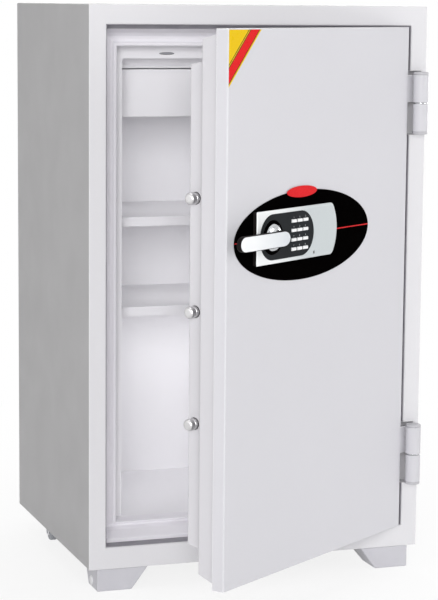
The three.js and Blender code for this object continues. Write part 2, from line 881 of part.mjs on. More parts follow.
function lockingBolts() {
  const tip = door.x0 + plugSide - 0.6 - boltReach;
  const tail = door.x0 + boltTail;
  const r = boltRadius;
  const names = ["lower", "middle", "upper"];
  boltHeights().forEach((z, i) => {
    const bolt = turned(
      [[0, 0], [r - 3.2, 0], [r - 1.2, 1.2], [r, 3.4], [r, 9], [r - 0.7, 9.6], [r - 0.7, 10.8],
        [r, 11.4], [r, tail - tip], [0, tail - tip]],
      28,
    );
    bolt.rotateY(Math.PI / 2).translate(tip, boltDepth, z);
    addToDoor(`${names[i]}_bolt`, bolt, looks.steel);
  });

  const pin = { x: pivotX - crankRadius / 2, r: crankPinRadius };
  const slotHalf = pin.r + slotGap;
  const armBack = boltDepth - 0.5;
  const bar = block(
    tail + layerGap,
    tail + barThick,
    boltDepth - barHalfWidth,
    boltDepth + barHalfWidth,
    boltMiddle - boltPitch - barOverhang,
    boltMiddle + boltPitch + barOverhang,
  );
  const pinLow = lockHeight - crankRadius - pin.r - 1.2;
  const pinHigh = lockHeight - crankRadius * Math.cos(Math.PI / 6) + pin.r + 1.2;
  const arm = block(
    tail + 1,
    pin.x + slotHalf + slotWall,
    armBack - armSheet,
    armBack,
    pinLow - slotWall,
    pinHigh + slotWall,
  );
  const slot = block(
    pin.x - slotHalf,
    pin.x + slotHalf,
    armBack - 2 * armSheet,
    armBack + armSheet,
    pinLow,
    pinHigh,
  );
  addToDoor("bolt_bar", cut(join(bar, arm), slot), looks.steel);

  const crankBack = armBack - armSheet - 1;
  const crankFront = crankBack - crankSheet;
  const crankEnd = crankRadius + pin.r + 2;
  const spindleFront = panelFront + hubGap - layerGap;
  const spindle = roundBar(spindleRadius, -spindleFront, crankBack, pivotX, lockHeight, 24);
  const web = skin([
    standing(stadium(-crankTail, crankEnd, 0, crankHalfWidth, 8), crankFront),
    standing(stadium(-crankTail, crankEnd, 0, crankHalfWidth - 1, 8), crankBack),
  ]);
  web.rotateY((120 * Math.PI) / 180).translate(pivotX, 0, lockHeight);
  const pinZ = lockHeight - crankRadius * Math.cos(Math.PI / 6);
  const crankPin = roundBar(pin.r, crankBack - 2, armBack + 2, pin.x, pinZ, 20);
  addToDoor("lock_crank", join(spindle, web, crankPin), looks.steel);
}

// The lock's outline: straight on the free side, bulging on the hinge side
function lockLoop(inset) {
  const x0 = door.x0 + lockStart + inset;
  const x1 = door.x0 + lockEnd - inset;
  const reach = lockHalfHeight - inset;
  const points = [];
  const steps = 12;
  for (let i = 0; i <= steps; i++) {
    const t = -1 + (2 * i) / steps;
    points.push([x1 + lockBulge * (1 - t * t), lockHeight + reach * t]);
  }
  const corner = 2;
  for (let i = 0; i <= 3; i++) {
    const a = Math.PI / 2 + (i / 3) * (Math.PI / 2);
    points.push([
      x0 + corner + corner * Math.cos(a),
      lockHeight + reach - corner + corner * Math.sin(a),
    ]);
  }
  for (let i = 0; i <= 3; i++) {
    const a = Math.PI + (i / 3) * (Math.PI / 2);
    points.push([
      x0 + corner + corner * Math.cos(a),
      lockHeight - reach + corner + corner * Math.sin(a),
    ]);
  }
  return points;
}

function keyPlaces() {
  const names = ["1", "2", "3", "4", "5", "6", "7", "8", "9", "clear", "0", "enter"];
  const x = door.x0 + keyMiddle;
  return names.map((name, i) => ({
    name: `key_${name}`,
    x: x + ((i % 3) - 1) * keyPitchX,
    z: lockHeight - 1 + (1.5 - Math.floor(i / 3)) * keyPitchZ,
  }));
}

function lockSet() {
  const through = (back, front) =>
    roundBar(spindleRadius + 1, -front - 1, -back + 1, pivotX, lockHeight);
  const plate = slab(
    (i) => ellipse(door.x0 + ovalCentre, ovalHeight, ovalHalfWidth - i, ovalHalfHeight - i),
    layerGap,
    plateFront,
    0.5,
  );
  addToDoor("oval_plate", cut(plate, through(0, plateFront)), looks.black);

  const base = slab((i) => lockLoop(baseInset + i), plateFront + layerGap, baseFront);
  addToDoor("lock_base", cut(base, through(plateFront, baseFront)), looks.black);

  const panelLoop = (i) =>
    stadium(
      door.x0 + panelStart + i,
      door.x0 + panelEnd - i,
      lockHeight,
      panelHalfHeight - i,
      14,
    );
  const window = slab(() => panelLoop(0), baseFront - 1, coverFront + 1);
  const lampX = door.x0 + lampFromEdge;
  const lampZ = lockHeight - lampBelowLock;
  const lamp = roundBar(lampRadius, -coverFront - 1, -baseFront + 1, lampX, lampZ, 12);
  const cover = slab(lockLoop, baseFront + layerGap, coverFront, 1.6);
  addToDoor("lock_cover", cut(cover, window, lamp), looks.silver);

  const keyHoles = keyPlaces().map(({ x, z }) => {
    const w = keyWidth / 2 + 0.3;
    const h = keyHeight / 2 + 0.3;
    return block(x - w, x + w, -panelFront - 1, -baseFront + 1, z - h, z + h);
  });
  const panel = slab((i) => panelLoop(0.25 + i), baseFront + layerGap, panelFront, 0.8);
  const panelCut = cut(panel, through(baseFront, panelFront), ...keyHoles);
  addToDoor("keypad_panel", panelCut, looks.panel);

  for (const { name, x, z } of keyPlaces()) {
    const loopAt = (i) =>
      roundedRect(
        x - keyWidth / 2 + i,
        x + keyWidth / 2 - i,
        z - keyHeight / 2 + i,
        z + keyHeight / 2 - i,
        0.9,
        2,
      );
    addToDoor(name, slab(loopAt, baseFront + 1.8, keyFront, 0.5), looks.key);
  }
}

function handle() {
  const hubBack = panelFront + hubGap;
  const roseBack = panelFront + layerGap;
  const r = hubRadius;
  const rose = turnedForward(
    [[ringInner, roseBack], [ringOuter, roseBack], [ringOuter, roseBack + 0.9],
      [ringOuter - 2, roseBack + 2.7], [ringInner, roseBack + 2.7], [ringInner, roseBack]],
    pivotX,
    lockHeight,
    36,
  );
  addToDoor("handle_rose", rose, looks.black);

  const hub = turnedForward(
    [[0, hubBack], [r, hubBack], [r, hubBack + 2.2], [r - 1.4, hubBack + 4],
      [r - 3.5, hubBack + 4.6], [r - 4.6, hubBack + 6.4], [r - 6.8, hubBack + 7],
      [r - 8.5, hubBack + 9.5], [r - 9.4, hubFront - 0.8], [r - 10.2, hubFront], [0, hubFront]],
    pivotX,
    lockHeight,
    36,
  );
  addToDoor("handle_hub", hub, looks.chrome);

  const leverLoop = (i) =>
    stadium(
      pivotX - leverReach - leverRadius + i,
      pivotX + leverRadius - i,
      lockHeight,
      leverRadius - i,
      10,
    );
  const grip = skin([
    standing(leverLoop(1.6), -(hubFront + 0.2)),
    standing(leverLoop(0), -(hubFront + 1.8)),
    standing(leverLoop(0), -leverFront),
  ]);
  addToDoor("handle_lever", grip, looks.black);
  const face = skin([
    standing(leverLoop(0.3), -(leverFront + layerGap)),
    standing(leverLoop(0.3), -(leverFaceFront - 1)),
    standing(leverLoop(1.2), -(leverFaceFront - 0.2)),
    standing(leverLoop(3), -leverFaceFront),
  ]);
  addToDoor("lever_face", face, looks.lever);
}

outerCasing();
frontFrame();
doorSeal();
jambMoulding();
innerLiner();
fireInsulation();
for (const [name, sign] of [["left", -1], ["right", 1]]) {
  foot(name, sign);
  caster(name, sign);
}
for (const [name, middle] of Object.entries(hingeHeights)) {
  hinge(name, middle);
}
shelf("lower_shelf", lowerShelfTop);
shelf("upper_shelf", upperShelfTop);
drawer();
doorPan();
doorCore();
doorPlug();
lockingBolts();
lockSet();
handle();

// Swings the door open, then sets the origin on the floor under the middle of the whole object
const swing = new THREE.Matrix4()
  .makeTranslation(hingeX, -hingeForward, 0)
  .multiply(new THREE.Matrix4().makeRotationZ(THREE.MathUtils.degToRad(openAngle)))
  .multiply(new THREE.Matrix4().makeTranslation(-hingeX, hingeForward, 0));
for (const mesh of doorParts) {
  mesh.geometry.applyMatrix4(swing);
}
const extent = new THREE.Box3().setFromObject(root);
const middle = extent.getCenter(new THREE.Vector3());
for (const mesh of root.children) {
  mesh.geometry.translate(-middle.x, -middle.y, -extent.min.z);
}

export default root;
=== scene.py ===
"""Finished surfaces and a plain studio for the fireproof safe.

Everything is in metres, +Z up, and the front faces -Y. Door pieces are drawn with the door shut
and are then swung open with it.
"""

import json
import math
from collections import namedtuple

import bmesh
import bpy
from bpy.props import FloatProperty, FloatVectorProperty, PointerProperty
from mathutils import Matrix, Vector


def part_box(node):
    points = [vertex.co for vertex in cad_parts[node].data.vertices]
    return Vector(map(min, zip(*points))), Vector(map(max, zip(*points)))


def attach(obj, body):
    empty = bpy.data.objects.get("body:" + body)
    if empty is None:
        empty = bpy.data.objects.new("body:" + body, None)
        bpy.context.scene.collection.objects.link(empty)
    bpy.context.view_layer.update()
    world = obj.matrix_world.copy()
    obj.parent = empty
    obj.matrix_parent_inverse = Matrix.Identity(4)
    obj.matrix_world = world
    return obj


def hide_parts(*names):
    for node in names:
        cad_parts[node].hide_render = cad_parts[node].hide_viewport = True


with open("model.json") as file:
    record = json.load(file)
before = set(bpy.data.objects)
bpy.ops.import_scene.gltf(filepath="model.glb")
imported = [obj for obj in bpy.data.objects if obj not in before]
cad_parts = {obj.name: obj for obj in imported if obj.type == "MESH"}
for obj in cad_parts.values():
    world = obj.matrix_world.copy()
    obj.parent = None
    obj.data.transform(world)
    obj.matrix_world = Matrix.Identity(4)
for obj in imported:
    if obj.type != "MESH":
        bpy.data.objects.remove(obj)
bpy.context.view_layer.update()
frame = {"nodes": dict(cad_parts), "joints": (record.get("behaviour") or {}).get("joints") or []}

bl_info = {
    "name": "Fireproof safe finishes",
    "version": (1, 0, 0),
    "blender": (4, 5, 0),
    "location": "3D View > Sidebar > Safe",
    "description": "Builds the finished surfaces of a fireproof safe round its engineering model",
    "category": "Object",
}

MM = 0.001
TOUCHING = 1e-6
QUARTER_TURN = math.pi / 2
LEVELS = ("lower", "upper")
BOLTS = ("lower", "middle", "upper")

# How far cutters on the door reach behind and before its face
BEHIND = -10 * MM
BEFORE = 20 * MM


class Box(namedtuple("Box", "x0 x1 z0 z1 back front")):
    """A piece's limits across, up and forward of the safe's face, with its middles and sizes."""

    across = property(lambda box: (box.x0 + box.x1) / 2)
    up = property(lambda box: (box.z0 + box.z1) / 2)
    deep = property(lambda box: (box.back + box.front) / 2)
    wide = property(lambda box: box.x1 - box.x0)
    tall = property(lambda box: box.z1 - box.z0)
    thick = property(lambda box: box.front - box.back)

    def grown(self, sides, ends):
        """The box with its sides and its upper and lower ends moved out."""
        return self._replace(
            x0=self.x0 - sides, x1=self.x1 + sides, z0=self.z0 - ends, z1=self.z1 + ends
        )

    def inset(self, sides, top, bottom, height):
        """The box's outline set in by its own amount at the sides, top and bottom."""
        return self.x0 + sides, self.x1 - sides, self.z0 + bottom, self.z1 - top, height

    def frames(self, profile):
        """The box's outline set in all round by each inset of a profile, at its height."""
        return [self.inset(inset, inset, inset, height) for inset, height in profile]


def joint_of(name):
    """The record's joint of that name."""
    return next(joint for joint in frame["joints"] if joint["name"] == name)


# The door's swing: from shut to how it stands at rest
HINGE = Vector(joint_of("door_swing")["pos_m"])
OPEN_ANGLE = -math.radians(joint_of("door_swing")["range_deg"][0])
SWING = (
    Matrix.Translation(HINGE)
    @ Matrix.Rotation(OPEN_ANGLE, 4, "Z")
    @ Matrix.Translation(-HINGE)
)

# Flat work is drawn lying down: x across, y up the safe, z forward of its front face
FRONT_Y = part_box("front_frame")[0].y
FACE = Matrix(((1, 0, 0, 0), (0, 0, -1, FRONT_Y), (0, 1, 0, 0), (0, 0, 0, 1)))
DOOR_FACE = SWING @ FACE
UPRIGHT = Matrix.Identity(4)
ON_HINGE = Matrix.Translation((HINGE.x, HINGE.y, 0))
LYING = Matrix.Rotation(QUARTER_TURN, 4, "Y")


def drawn_box(node, shut=False):
    """The box of a node; with shut, as it stands when the door it swings with is shut."""
    turn = SWING.inverted() if shut else UPRIGHT
    points = [turn @ vertex.co for vertex in frame["nodes"][node].data.vertices]
    xs, ys, zs = zip(*points)
    return Box(min(xs), max(xs), min(zs), max(zs), FRONT_Y - max(ys), FRONT_Y - min(ys))


def door_box(node):
    """The box of a node that swings with the door, as it is with the door shut."""
    return drawn_box(node, shut=True)


BODY = drawn_box("outer_casing")
DOOR = door_box("door_skin")


def shade(red, green, blue):
    """A colour as it shows on a screen, 0 to 255, turned into Blender's linear numbers."""
    parts = [value / 255 for value in (red, green, blue)]
    return tuple(p / 12.92 if p <= 0.04045 else ((p + 0.055) / 1.055) ** 2.4 for p in parts)


# Settings

def size(name, millimetres, description):
    """A length that the user may change, written in millimetres."""
    return FloatProperty(
        name=name,
        description=description,
        default=millimetres * MM,
        min=0,
        unit="LENGTH",
        precision=5,
    )


def colour(name, screen, description):
    """A colour that the user may change, written as it shows on a screen."""
    return FloatVectorProperty(
        name=name,
        description=description,
        default=shade(*screen),
        min=0,
        max=1,
        size=3,
        subtype="COLOR",
    )


def share(name, amount, description):
    """A light's part of full daylight on a surface that faces it."""
    return FloatProperty(name=name, description=description, default=amount, min=0, max=2)


class SafeSizes(bpy.types.PropertyGroup):
    """Sizes of the finished pieces that the engineering model leaves plain."""

    side_gap: size("Side gap", 2.5, "Gap between the door plate and the opening at each side")
    end_gap: size("End gap", 2, "Gap between the door plate and the opening above and below")
    lip_round: size("Lip rounding", 1.6, "Rounding of the front frame round the opening")
    door_round: size("Door rounding", 2.2, "Rounding of the door plate's front edge")
    body_corner: size("Body corner", 1.6, "Rounding of the body's long corners")
    nose_reach: size("Nose reach", 34, "How far the jamb's nose stands in from the opening")
    cove_depth: size("Cove depth", 5, "How deep the jamb's cove lies behind its nose")
    step_round: size("Plug rounding", 5, "Rounding of the plug's steps behind the door")
    knuckle_edge: size("Knuckle edge", 1.4, "Rounding at the ends of the hinge knuckles")
    # The cap is the knuckle's end, painted darker as the shade on its rounded end.
    hinge_cap: size("Hinge cap", 4.6, "Height of the darker cap at the end of each hinge")
    badge_width: size("Badge width", 80, "Width of the blank oval badge over the lock")
    badge_height: size("Badge height", 17, "Height of the blank oval badge")
    stripe_width: size("Stripe width", 1.5, "Width of the red stripe across the oval plate")
    sticker_leg: size("Sticker leg", 80, "Leg of the triangular sticker in the door's top corner")
    digit_height: size("Digit height", 2.6, "Height of the numbers over the keys")


class SafeColours(bpy.types.PropertyGroup):
    """Colours of the finishes."""

    casing: colour("Casing paint", (168, 167, 168), "Grey paint of the outer casing")
    front: colour("Frame paint", (216, 215, 218), "Light paint of the front frame")
    door: colour("Door paint", (208, 207, 212), "Light paint of the door")
    jamb: colour("Jamb paint", (236, 234, 239), "Light moulding round the opening and on the plug")
    liner: colour("Liner paint", (240, 239, 242), "Light paint of the interior")
    seal: colour("Seal strip", (138, 136, 143), "Grey strip in the rebate")
    foot: colour("Foot plastic", (196, 195, 201), "Moulded plastic of the feet")
    cover: colour("Lock cover", (195, 202, 204), "Silver lacquer of the lock's cover")
    panel: colour("Keypad panel", (40, 42, 44), "Dark grained panel behind the keys")
    black: colour("Gloss black", (3, 2, 2), "Gloss black of the oval plate and the lever's ring")
    key: colour("Keys", (246, 246, 246), "White plastic of the keys")
    lever: colour("Lever face", (208, 213, 219), "Pale lacquered face of the lever")
    red: colour("Red", (222, 14, 24), "Red of the stripe, the badge and the sticker's band")
    yellow: colour("Yellow", (232, 192, 4), "Yellow of the sticker")


class SafeStudio(bpy.types.PropertyGroup):
    """The plain studio round the safe."""

    lens: FloatProperty(
        name="Lens",
        description="Focal length of the camera on a 36 mm sensor",
        default=126.18,
        min=10,
        unit="CAMERA",
    )
    ambient: share("Ambient", 0.28, "Even light from all round")
    key: share("Key light", 0.5, "Soft light beside the camera")
    side: share("Side light", 0.24, "Soft light from the right, on the open door's front")
    left: share("Left light", 0.12, "Weak soft light from the left")
    fill: share("Fill lights", 0.3, "Soft lights from behind")
    top: share("Top light", 0.24, "Soft light from overhead")
    inner: share("Inner light", 0.7, "Soft light under the ceiling of each compartment")
    floor: colour("Floor", (250, 250, 250), "Pale floor under the safe")


# Modelling helpers

def let_go():
    """Leaves edit mode and deselects everything."""
    if bpy.context.object and bpy.context.object.mode != "OBJECT":
        bpy.ops.object.mode_set(mode="OBJECT")
    bpy.ops.object.select_all(action="DESELECT")


def hold(piece):
    """Makes the piece the only one that operators act on."""
    let_go()
    piece.select_set(True)
    bpy.context.view_layer.objects.active = piece


def opened(piece):
    """Holds the piece in edit mode."""
    hold(piece)
    bpy.ops.object.mode_set(mode="EDIT")


def select(kind, action="SELECT"):
    """In edit mode, selects or deselects everything of a kind."""
    bpy.ops.mesh.select_mode(type=kind)
    bpy.ops.mesh.select_all(action=action)


def pick(kind, test):
    """In edit mode, selects just the vertices, edges or faces that pass the test."""
    select(kind, "DESELECT")
    mesh = bmesh.from_edit_mesh(bpy.context.object.data)
    parts, places = {
        "VERT": (mesh.verts, lambda vert: (vert.co,)),
        "EDGE": (mesh.edges, lambda edge: [vert.co for vert in edge.verts]),
        "FACE": (mesh.faces, lambda face: (face.calc_center_median(), face.normal)),
    }[kind]
    for part in parts:
        if test(*places(part)):
            part.select_set(True)
    mesh.select_flush_mode()
    bmesh.update_edit_mesh(bpy.context.object.data)


def close_up():
    """In edit mode, merges doubled points and turns every face outwards."""
    select("VERT")
    bpy.ops.mesh.remove_doubles(threshold=TOUCHING)
    bpy.ops.mesh.normals_make_consistent(inside=False)


def started(name):
    """Names the primitive that was just added and opens it in edit mode with all selected."""
    piece = bpy.context.object
    piece.name = name
    piece.data.name = name
    bpy.ops.object.mode_set(mode="EDIT")
    select("VERT")
    return piece


def circle(name, radius, sides, fill="NGON"):
    """A flat circle round the origin, open in edit mode."""
    let_go()
    bpy.ops.mesh.primitive_circle_add(
        vertices=sides, radius=radius, fill_type=fill, location=(0, 0, 0)
    )
    return started(name)


def shift(step):
    """In edit mode, moves what is selected."""
    bpy.ops.transform.translate(value=step)


def resize(wide, tall, middle=(0, 0, 0)):
    """In edit mode, stretches what is selected about a middle."""
    bpy.ops.transform.resize(value=(wide, tall, 1), center_override=middle)


def extrude(step):
    """In edit mode, draws out what is selected."""
    bpy.ops.mesh.extrude_region_move(TRANSFORM_OT_translate={"value": step})


def fillet(profile, rounds, steps=5):
    """Rounds numbered corners of a two-number profile by true arcs, each shorter than its sides."""
    result = []
    count = len(profile)
    for i, corner in enumerate(profile):
        if i not in rounds:
            result.append(corner)
            continue
        here = Vector(corner)
        before = (Vector(profile[i - 1]) - here).normalized()
        after = (Vector(profile[(i + 1) % count]) - here).normalized()
        half_angle = before.angle(after) / 2
        reach = rounds[i] / math.tan(half_angle)
        middle = here + (before + after).normalized() * (rounds[i] / math.sin(half_angle))
        start = here + before * reach - middle
        end = here + after * reach - middle
        turn = start.angle_signed(end)
        for step in range(steps + 1):
            spoke = Matrix.Rotation(-turn * step / steps, 2) @ start
            result.append(tuple(middle + spoke))
    return result


def loft(name, rows, closed=False, corner=0):
    """A skin through rectangles, each x0, x1, y0, y1, height. A closed one returns to its start."""
    let_go()
    bpy.ops.mesh.primitive_plane_add(size=1, location=(0, 0, 0))
    piece = started(name)
    x0, x1, y0, y1, height = rows[0]
    wide, tall = x1 - x0, y1 - y0
    middle = ((x0 + x1) / 2, (y0 + y1) / 2, height)
    resize(wide, tall)
    shift(middle)
    if closed:
        select("FACE")
        bpy.ops.mesh.delete(type="ONLY_FACE")
        select("EDGE")
    for x0, x1, y0, y1, height in rows[1:]:
        after = ((x0 + x1) / 2, (y0 + y1) / 2, height)
        extrude(tuple(b - a for a, b in zip(middle, after)))
        resize((x1 - x0) / wide, (y1 - y0) / tall, after)
        middle, wide, tall = after, x1 - x0, y1 - y0
    close_up()
    if corner:
        round_corners(corner)
    let_go()
    return piece


def block(name, box):
    """A plain block that fills the box."""
    outline = (box.x0, box.x1, box.z0, box.z1)
    return loft(name, [(*outline, box.back), (*outline, box.front)])


def round_corners(radius):
    """In edit mode, rounds the edges that run along the loft's four corners."""
    def along(a, b):
        run = b - a
        long, short = max(abs(run.x), abs(run.y)), min(abs(run.x), abs(run.y))
        slanted = short > 0.4 * long or long < abs(run.z)
        return slanted and (abs(run.z) > TOUCHING or short > TOUCHING)

    pick("EDGE", along)
    bpy.ops.mesh.bevel(offset=radius, offset_type="OFFSET", segments=4, affect="EDGES")


def turned(name, profile, sides=64, closed=False):
    """A body turned about its own z from radius and height pairs, with flat ends or as a ring."""
    radius, height = profile[0]
    piece = circle(name, radius, sides, "NOTHING" if closed else "NGON")
    shift((0, 0, height))
    for next_radius, next_height in profile[1:] + (profile[:1] if closed else []):
        extrude((0, 0, next_height - height))
        resize(next_radius / radius, next_radius / radius, (0, 0, next_height))
        radius, height = next_radius, next_height
    close_up()
    let_go()
    return piece


def ellipse(name, middle, half_width, half_height, sides=96):
    """A flat filled ellipse, open in edit mode."""
    piece = circle(name, 1, sides)
    resize(half_width, half_height)
    shift(middle)
    return piece


def stadium(name, box, height, ends=(1, 1)):
    """A flat filled bar with round or drawn-out ends that fills the box, open in edit mode."""
    radius = box.tall / 2
    piece = circle(name, radius, 90)
    middle = (box.x0 + radius * ends[0], box.up, height)
    shift(middle)
    pick("VERT", lambda co: co.x < middle[0] - TOUCHING)
    resize(ends[0], 1, middle)
    pick("VERT", lambda co: co.x > middle[0] + TOUCHING)
    resize(ends[1], 1, middle)
    shift((box.x1 - middle[0] - radius * ends[1], 0, 0))
    bpy.ops.mesh.select_all(action="SELECT")
    return piece


def thicken(rise, edge=0, steps=3):
    """In edit mode, raises the flat shape into a slab, rounds its upper edge and closes up."""
    extrude((0, 0, rise))
    mesh = bmesh.from_edit_mesh(bpy.context.object.data)
    top = max(vert.co.z for vert in mesh.verts) - TOUCHING
    close_up()
    if edge:
        pick("EDGE", lambda a, b: min(a.z, b.z) > top)
        bpy.ops.mesh.bevel(offset=edge, segments=steps, affect="EDGES")
    let_go()


def combined(piece, other, operation):
    """Cuts another solid out of the piece or melts it in, and uses it up."""
    hold(piece)
    modifier = piece.modifiers.new("combined", "BOOLEAN")
    modifier.object = other
    modifier.operation = operation
    modifier.solver = "EXACT"
    bpy.ops.object.modifier_apply(modifier=modifier.name)
    bpy.data.objects.remove(other)


def cut_with(piece, *cutters):
    """Cuts the cutters out of the piece."""
    for cutter in cutters:
        combined(piece, cutter, "DIFFERENCE")


def place(piece, where):
    """Moves the piece by a matrix and puts the move into its mesh."""
    hold(piece)
    piece.matrix_world = where @ piece.matrix_world
    bpy.ops.object.transform_apply(location=True, rotation=True, scale=True)


def copied(piece, name):
    """A copy of the piece with its own mesh."""
    twin = piece.copy()
    twin.data = piece.data.copy()
    twin.name = name
    twin.data.name = name
    bpy.context.scene.collection.objects.link(twin)
    return twin


def soften(piece, width=0.0, steps=2, smooth=32):
    """Rounds the sharp edges that are left and sets smooth shading with flat faces kept flat."""
    hold(piece)
    bpy.ops.object.shade_smooth_by_angle(angle=math.radians(smooth))
    if width:
        smooth_when_rounded = smooth + 13
        rounding = piece.modifiers.new("rounding", "BEVEL")
        rounding.width = width
        rounding.segments = steps
        rounding.limit_method = "ANGLE"
        rounding.angle_limit = math.radians(smooth)
        bpy.ops.object.modifier_apply(modifier=rounding.name)
        bpy.ops.object.shade_smooth_by_angle(angle=math.radians(smooth_when_rounded))
    weighted = piece.modifiers.new("flat faces", "WEIGHTED_NORMAL")
    weighted.keep_sharp = True
    bpy.ops.object.modifier_apply(modifier=weighted.name)


def dress(piece, look, slot, body, *nodes):
    """Gives the piece its finish, lets it ride on its body and hides what it stands for; the slot
    argument is not used.
    """
    piece.data.materials.clear()
    piece.data.materials.append(finishes[look])
    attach(piece, body)
    if nodes:
        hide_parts(*nodes)


def complete(piece, where, look, slot, body, *nodes, width=0, steps=2, smooth=32):
    """Softens the piece, puts it in its place and dresses it."""
    soften(piece, width, steps, smooth)
    place(piece, where)
    dress(piece, look, slot, body, *nodes)


def paint_node(node, look):
    """Puts a finish on a node of the engineering model whose shape stays."""
    slots = frame["nodes"][node].material_slots
    if not slots:
        raise RuntimeError(f"{node} has no material slot")
    for material_slot in slots:
        material_slot.material = finishes[look]


# Finishes

def feed(tree, socket, value):
    """Gives a socket a plain value or links it to another socket."""
    if isinstance(value, bpy.types.NodeSocket):
        tree.links.new(value, socket)
    else:
        socket.default_value = value


def add_node(tree, kind, inputs=None, **settings):
    """A new node with its settings; each input takes a plain value or a socket."""
    node = tree.nodes.new(f"ShaderNode{kind}")
    for name, value in settings.items():
        setattr(node, name, value)
    for name, value in (inputs or {}).items():
        feed(tree, node.inputs[name], value)
    return node


def blank_material(name):
    """A fresh material, its empty tree and the place on the object."""
    material = bpy.data.materials.new(name)
    material.use_nodes = True
    tree = material.node_tree
    tree.nodes.clear()
    return material, tree, add_node(tree, "TexCoord").outputs["Object"]


def shaded(tree, inputs):
    """Closes the tree with its main shader and returns that shader."""
    shader = add_node(tree, "BsdfPrincipled", inputs)
    add_node(tree, "OutputMaterial", {"Surface": shader.outputs["BSDF"]})
    return shader


def grain(tree, where, scale, detail=3, roughness=0.5):
    """Noise between 0 and 1 at a scale in features per metre."""
    inputs = {"Vector": where, "Scale": scale, "Detail": detail, "Roughness": roughness}
    return add_node(tree, "TexNoise", inputs).outputs["Fac"]


def stretched(tree, value, low, high, to_low, to_high):
    """The value's range from low to high, stretched to another range and kept inside it."""
    inputs = {
        "Value": value, "From Min": low, "From Max": high, "To Min": to_low, "To Max": to_high
    }
    return add_node(tree, "MapRange", inputs).outputs["Result"]


def patches(tree, where, scale, detail, low=0, high=1, start=0.3, end=0.7):
    """Noise whose middle part is spread from a low to a high value."""
    return stretched(tree, grain(tree, where, scale, detail), start, end, low, high)


def tinted(tree, share, first, second):
    """A blend from the first colour to the second; each is a plain colour or a socket."""
    blend = add_node(tree, "Mix", data_type="RGBA")
    feed(tree, blend.inputs["Factor"], share)
    for name, value in (("A", first), ("B", second)):
        socket = next(s for s in blend.inputs if s.name == name and s.type == "RGBA")
        feed(tree, socket, (*value, 1) if isinstance(value, tuple) else value)
    return next(s for s in blend.outputs if s.type == "RGBA")


def relief(tree, height, depth, strength=1.0, under=None):
    """Bump of a depth in metres, on top of another bump."""
    inputs = {"Distance": depth, "Strength": strength, "Height": height}
    if under is not None:
        inputs["Normal"] = under
    return add_node(tree, "Bump", inputs).outputs["Normal"]


def wear_and_highlight_edges(tree, radius):
    """Mask for paler edges, worn and painted highlight alike: 1 along sharp edges and 0 on flat
    ground, from how the normal rounds within a radius.
    """
    rounded = add_node(tree, "Bevel", {"Radius": radius}, samples=6)
    surface = add_node(tree, "NewGeometry")
    alike = add_node(tree, "VectorMath", operation="DOT_PRODUCT")
    feed(tree, alike.inputs[0], rounded.outputs["Normal"])
    feed(tree, alike.inputs[1], surface.outputs["True Normal"])
    return stretched(tree, alike.outputs["Value"], 0.98, 0.75, 0, 1)


def inner_corner_shade(tree, reach):
    """Mask for painted shade: 1 deep in an inner corner of the piece and 0 where nothing stands within
    reach.
    """
    open_sky = add_node(
        tree, "AmbientOcclusion", {"Distance": reach}, samples=8, only_local=True
    )
    return stretched(tree, open_sky.outputs["AO"], 0.45, 0.98, 1, 0)


def paler(base, share):
    """The colour moved towards white by a share."""
    return tuple(value + (1 - value) * share for value in base)


def darker(base, share):
    """The colour moved towards black by a share."""
    return tuple(value * (1 - share) for value in base)


def coated_metal(
    name, base, gloss=0.42, edge=1.2 * MM, edge_light=0.5, clouds=0.022, corners=0, reach=45 * MM
):
    """Baked paint on sheet steel: faint clouds and a fine peel, edges painted paler as wear and as
    painted highlight, and painted shade darkening inner corners.
    """
    material, tree, where = blank_material(name)
    body = tinted(tree, patches(tree, where, 3.2, 4), darker(base, clouds), paler(base, clouds))
    specks = patches(tree, where, 1900, 2, start=0.35, end=0.75)
    body = tinted(tree, specks, body, paler(base, 0.09))
    # Painted shade: the paint darkens deep in inner corners, where shade falls.
    if corners:
        body = tinted(tree, inner_corner_shade(tree, reach), body, darker(base, corners))
    peel = relief(tree, grain(tree, where, 720, 2), 0.04 * MM, 0.5)
    shaded(tree, {
        # Edges painted paler: partly wear, partly a painted highlight.
        "Base Color": tinted(tree, wear_and_highlight_edges(tree, edge), body, paler(base, edge_light)),
        "Roughness": patches(tree, where, 14, 3, gloss - 0.05, gloss + 0.06),
        "Normal": relief(tree, grain(tree, where, 9, 2), 0.2 * MM, 0.35, peel),
        "Specular IOR Level": 0.4,
    })
    return material


def moulded(name, base, gloss=0.5, edge=0.8 * MM, texture=1300, shine=0.4, bloom=0.05):
    """Moulded plastic: a fine spark-eroded grain, faint flow marks and slightly rubbed edges."""
    material, tree, where = blank_material(name)
    body = tinted(tree, patches(tree, where, 22, 3), darker(base, 0.03), paler(base, bloom))
    shaded(tree, {
        "Base Color": tinted(tree, wear_and_highlight_edges(tree, edge), body, paler(base, bloom * 5)),
        "Roughness": patches(tree, where, 60, 2, gloss - 0.07, gloss + 0.07),
        "Normal": relief(tree, grain(tree, where, texture, 2), 0.03 * MM, 0.7),
        "Specular IOR Level": shine,
    })
    return material


def metal(name, base, gloss):
    """Bare or plated metal with fine scratches, smears in its gloss and bright edges."""
    material, tree, where = blank_material(name)
    scratches = grain(tree, where, 900, 4, 0.6)
    body = tinted(tree, patches(tree, where, 35, 3), darker(base, 0.08), paler(base, 0.04))
    shaded(tree, {
        "Base Color": tinted(tree, wear_and_highlight_edges(tree, 0.6 * MM), body, paler(base, 0.5)),
        "Roughness": stretched(tree, scratches, 0.3, 0.7, gloss * 0.75, gloss * 1.3),
        "Normal": relief(tree, scratches, 0.02 * MM, 0.5),
        "Metallic": 1,
    })
    return material


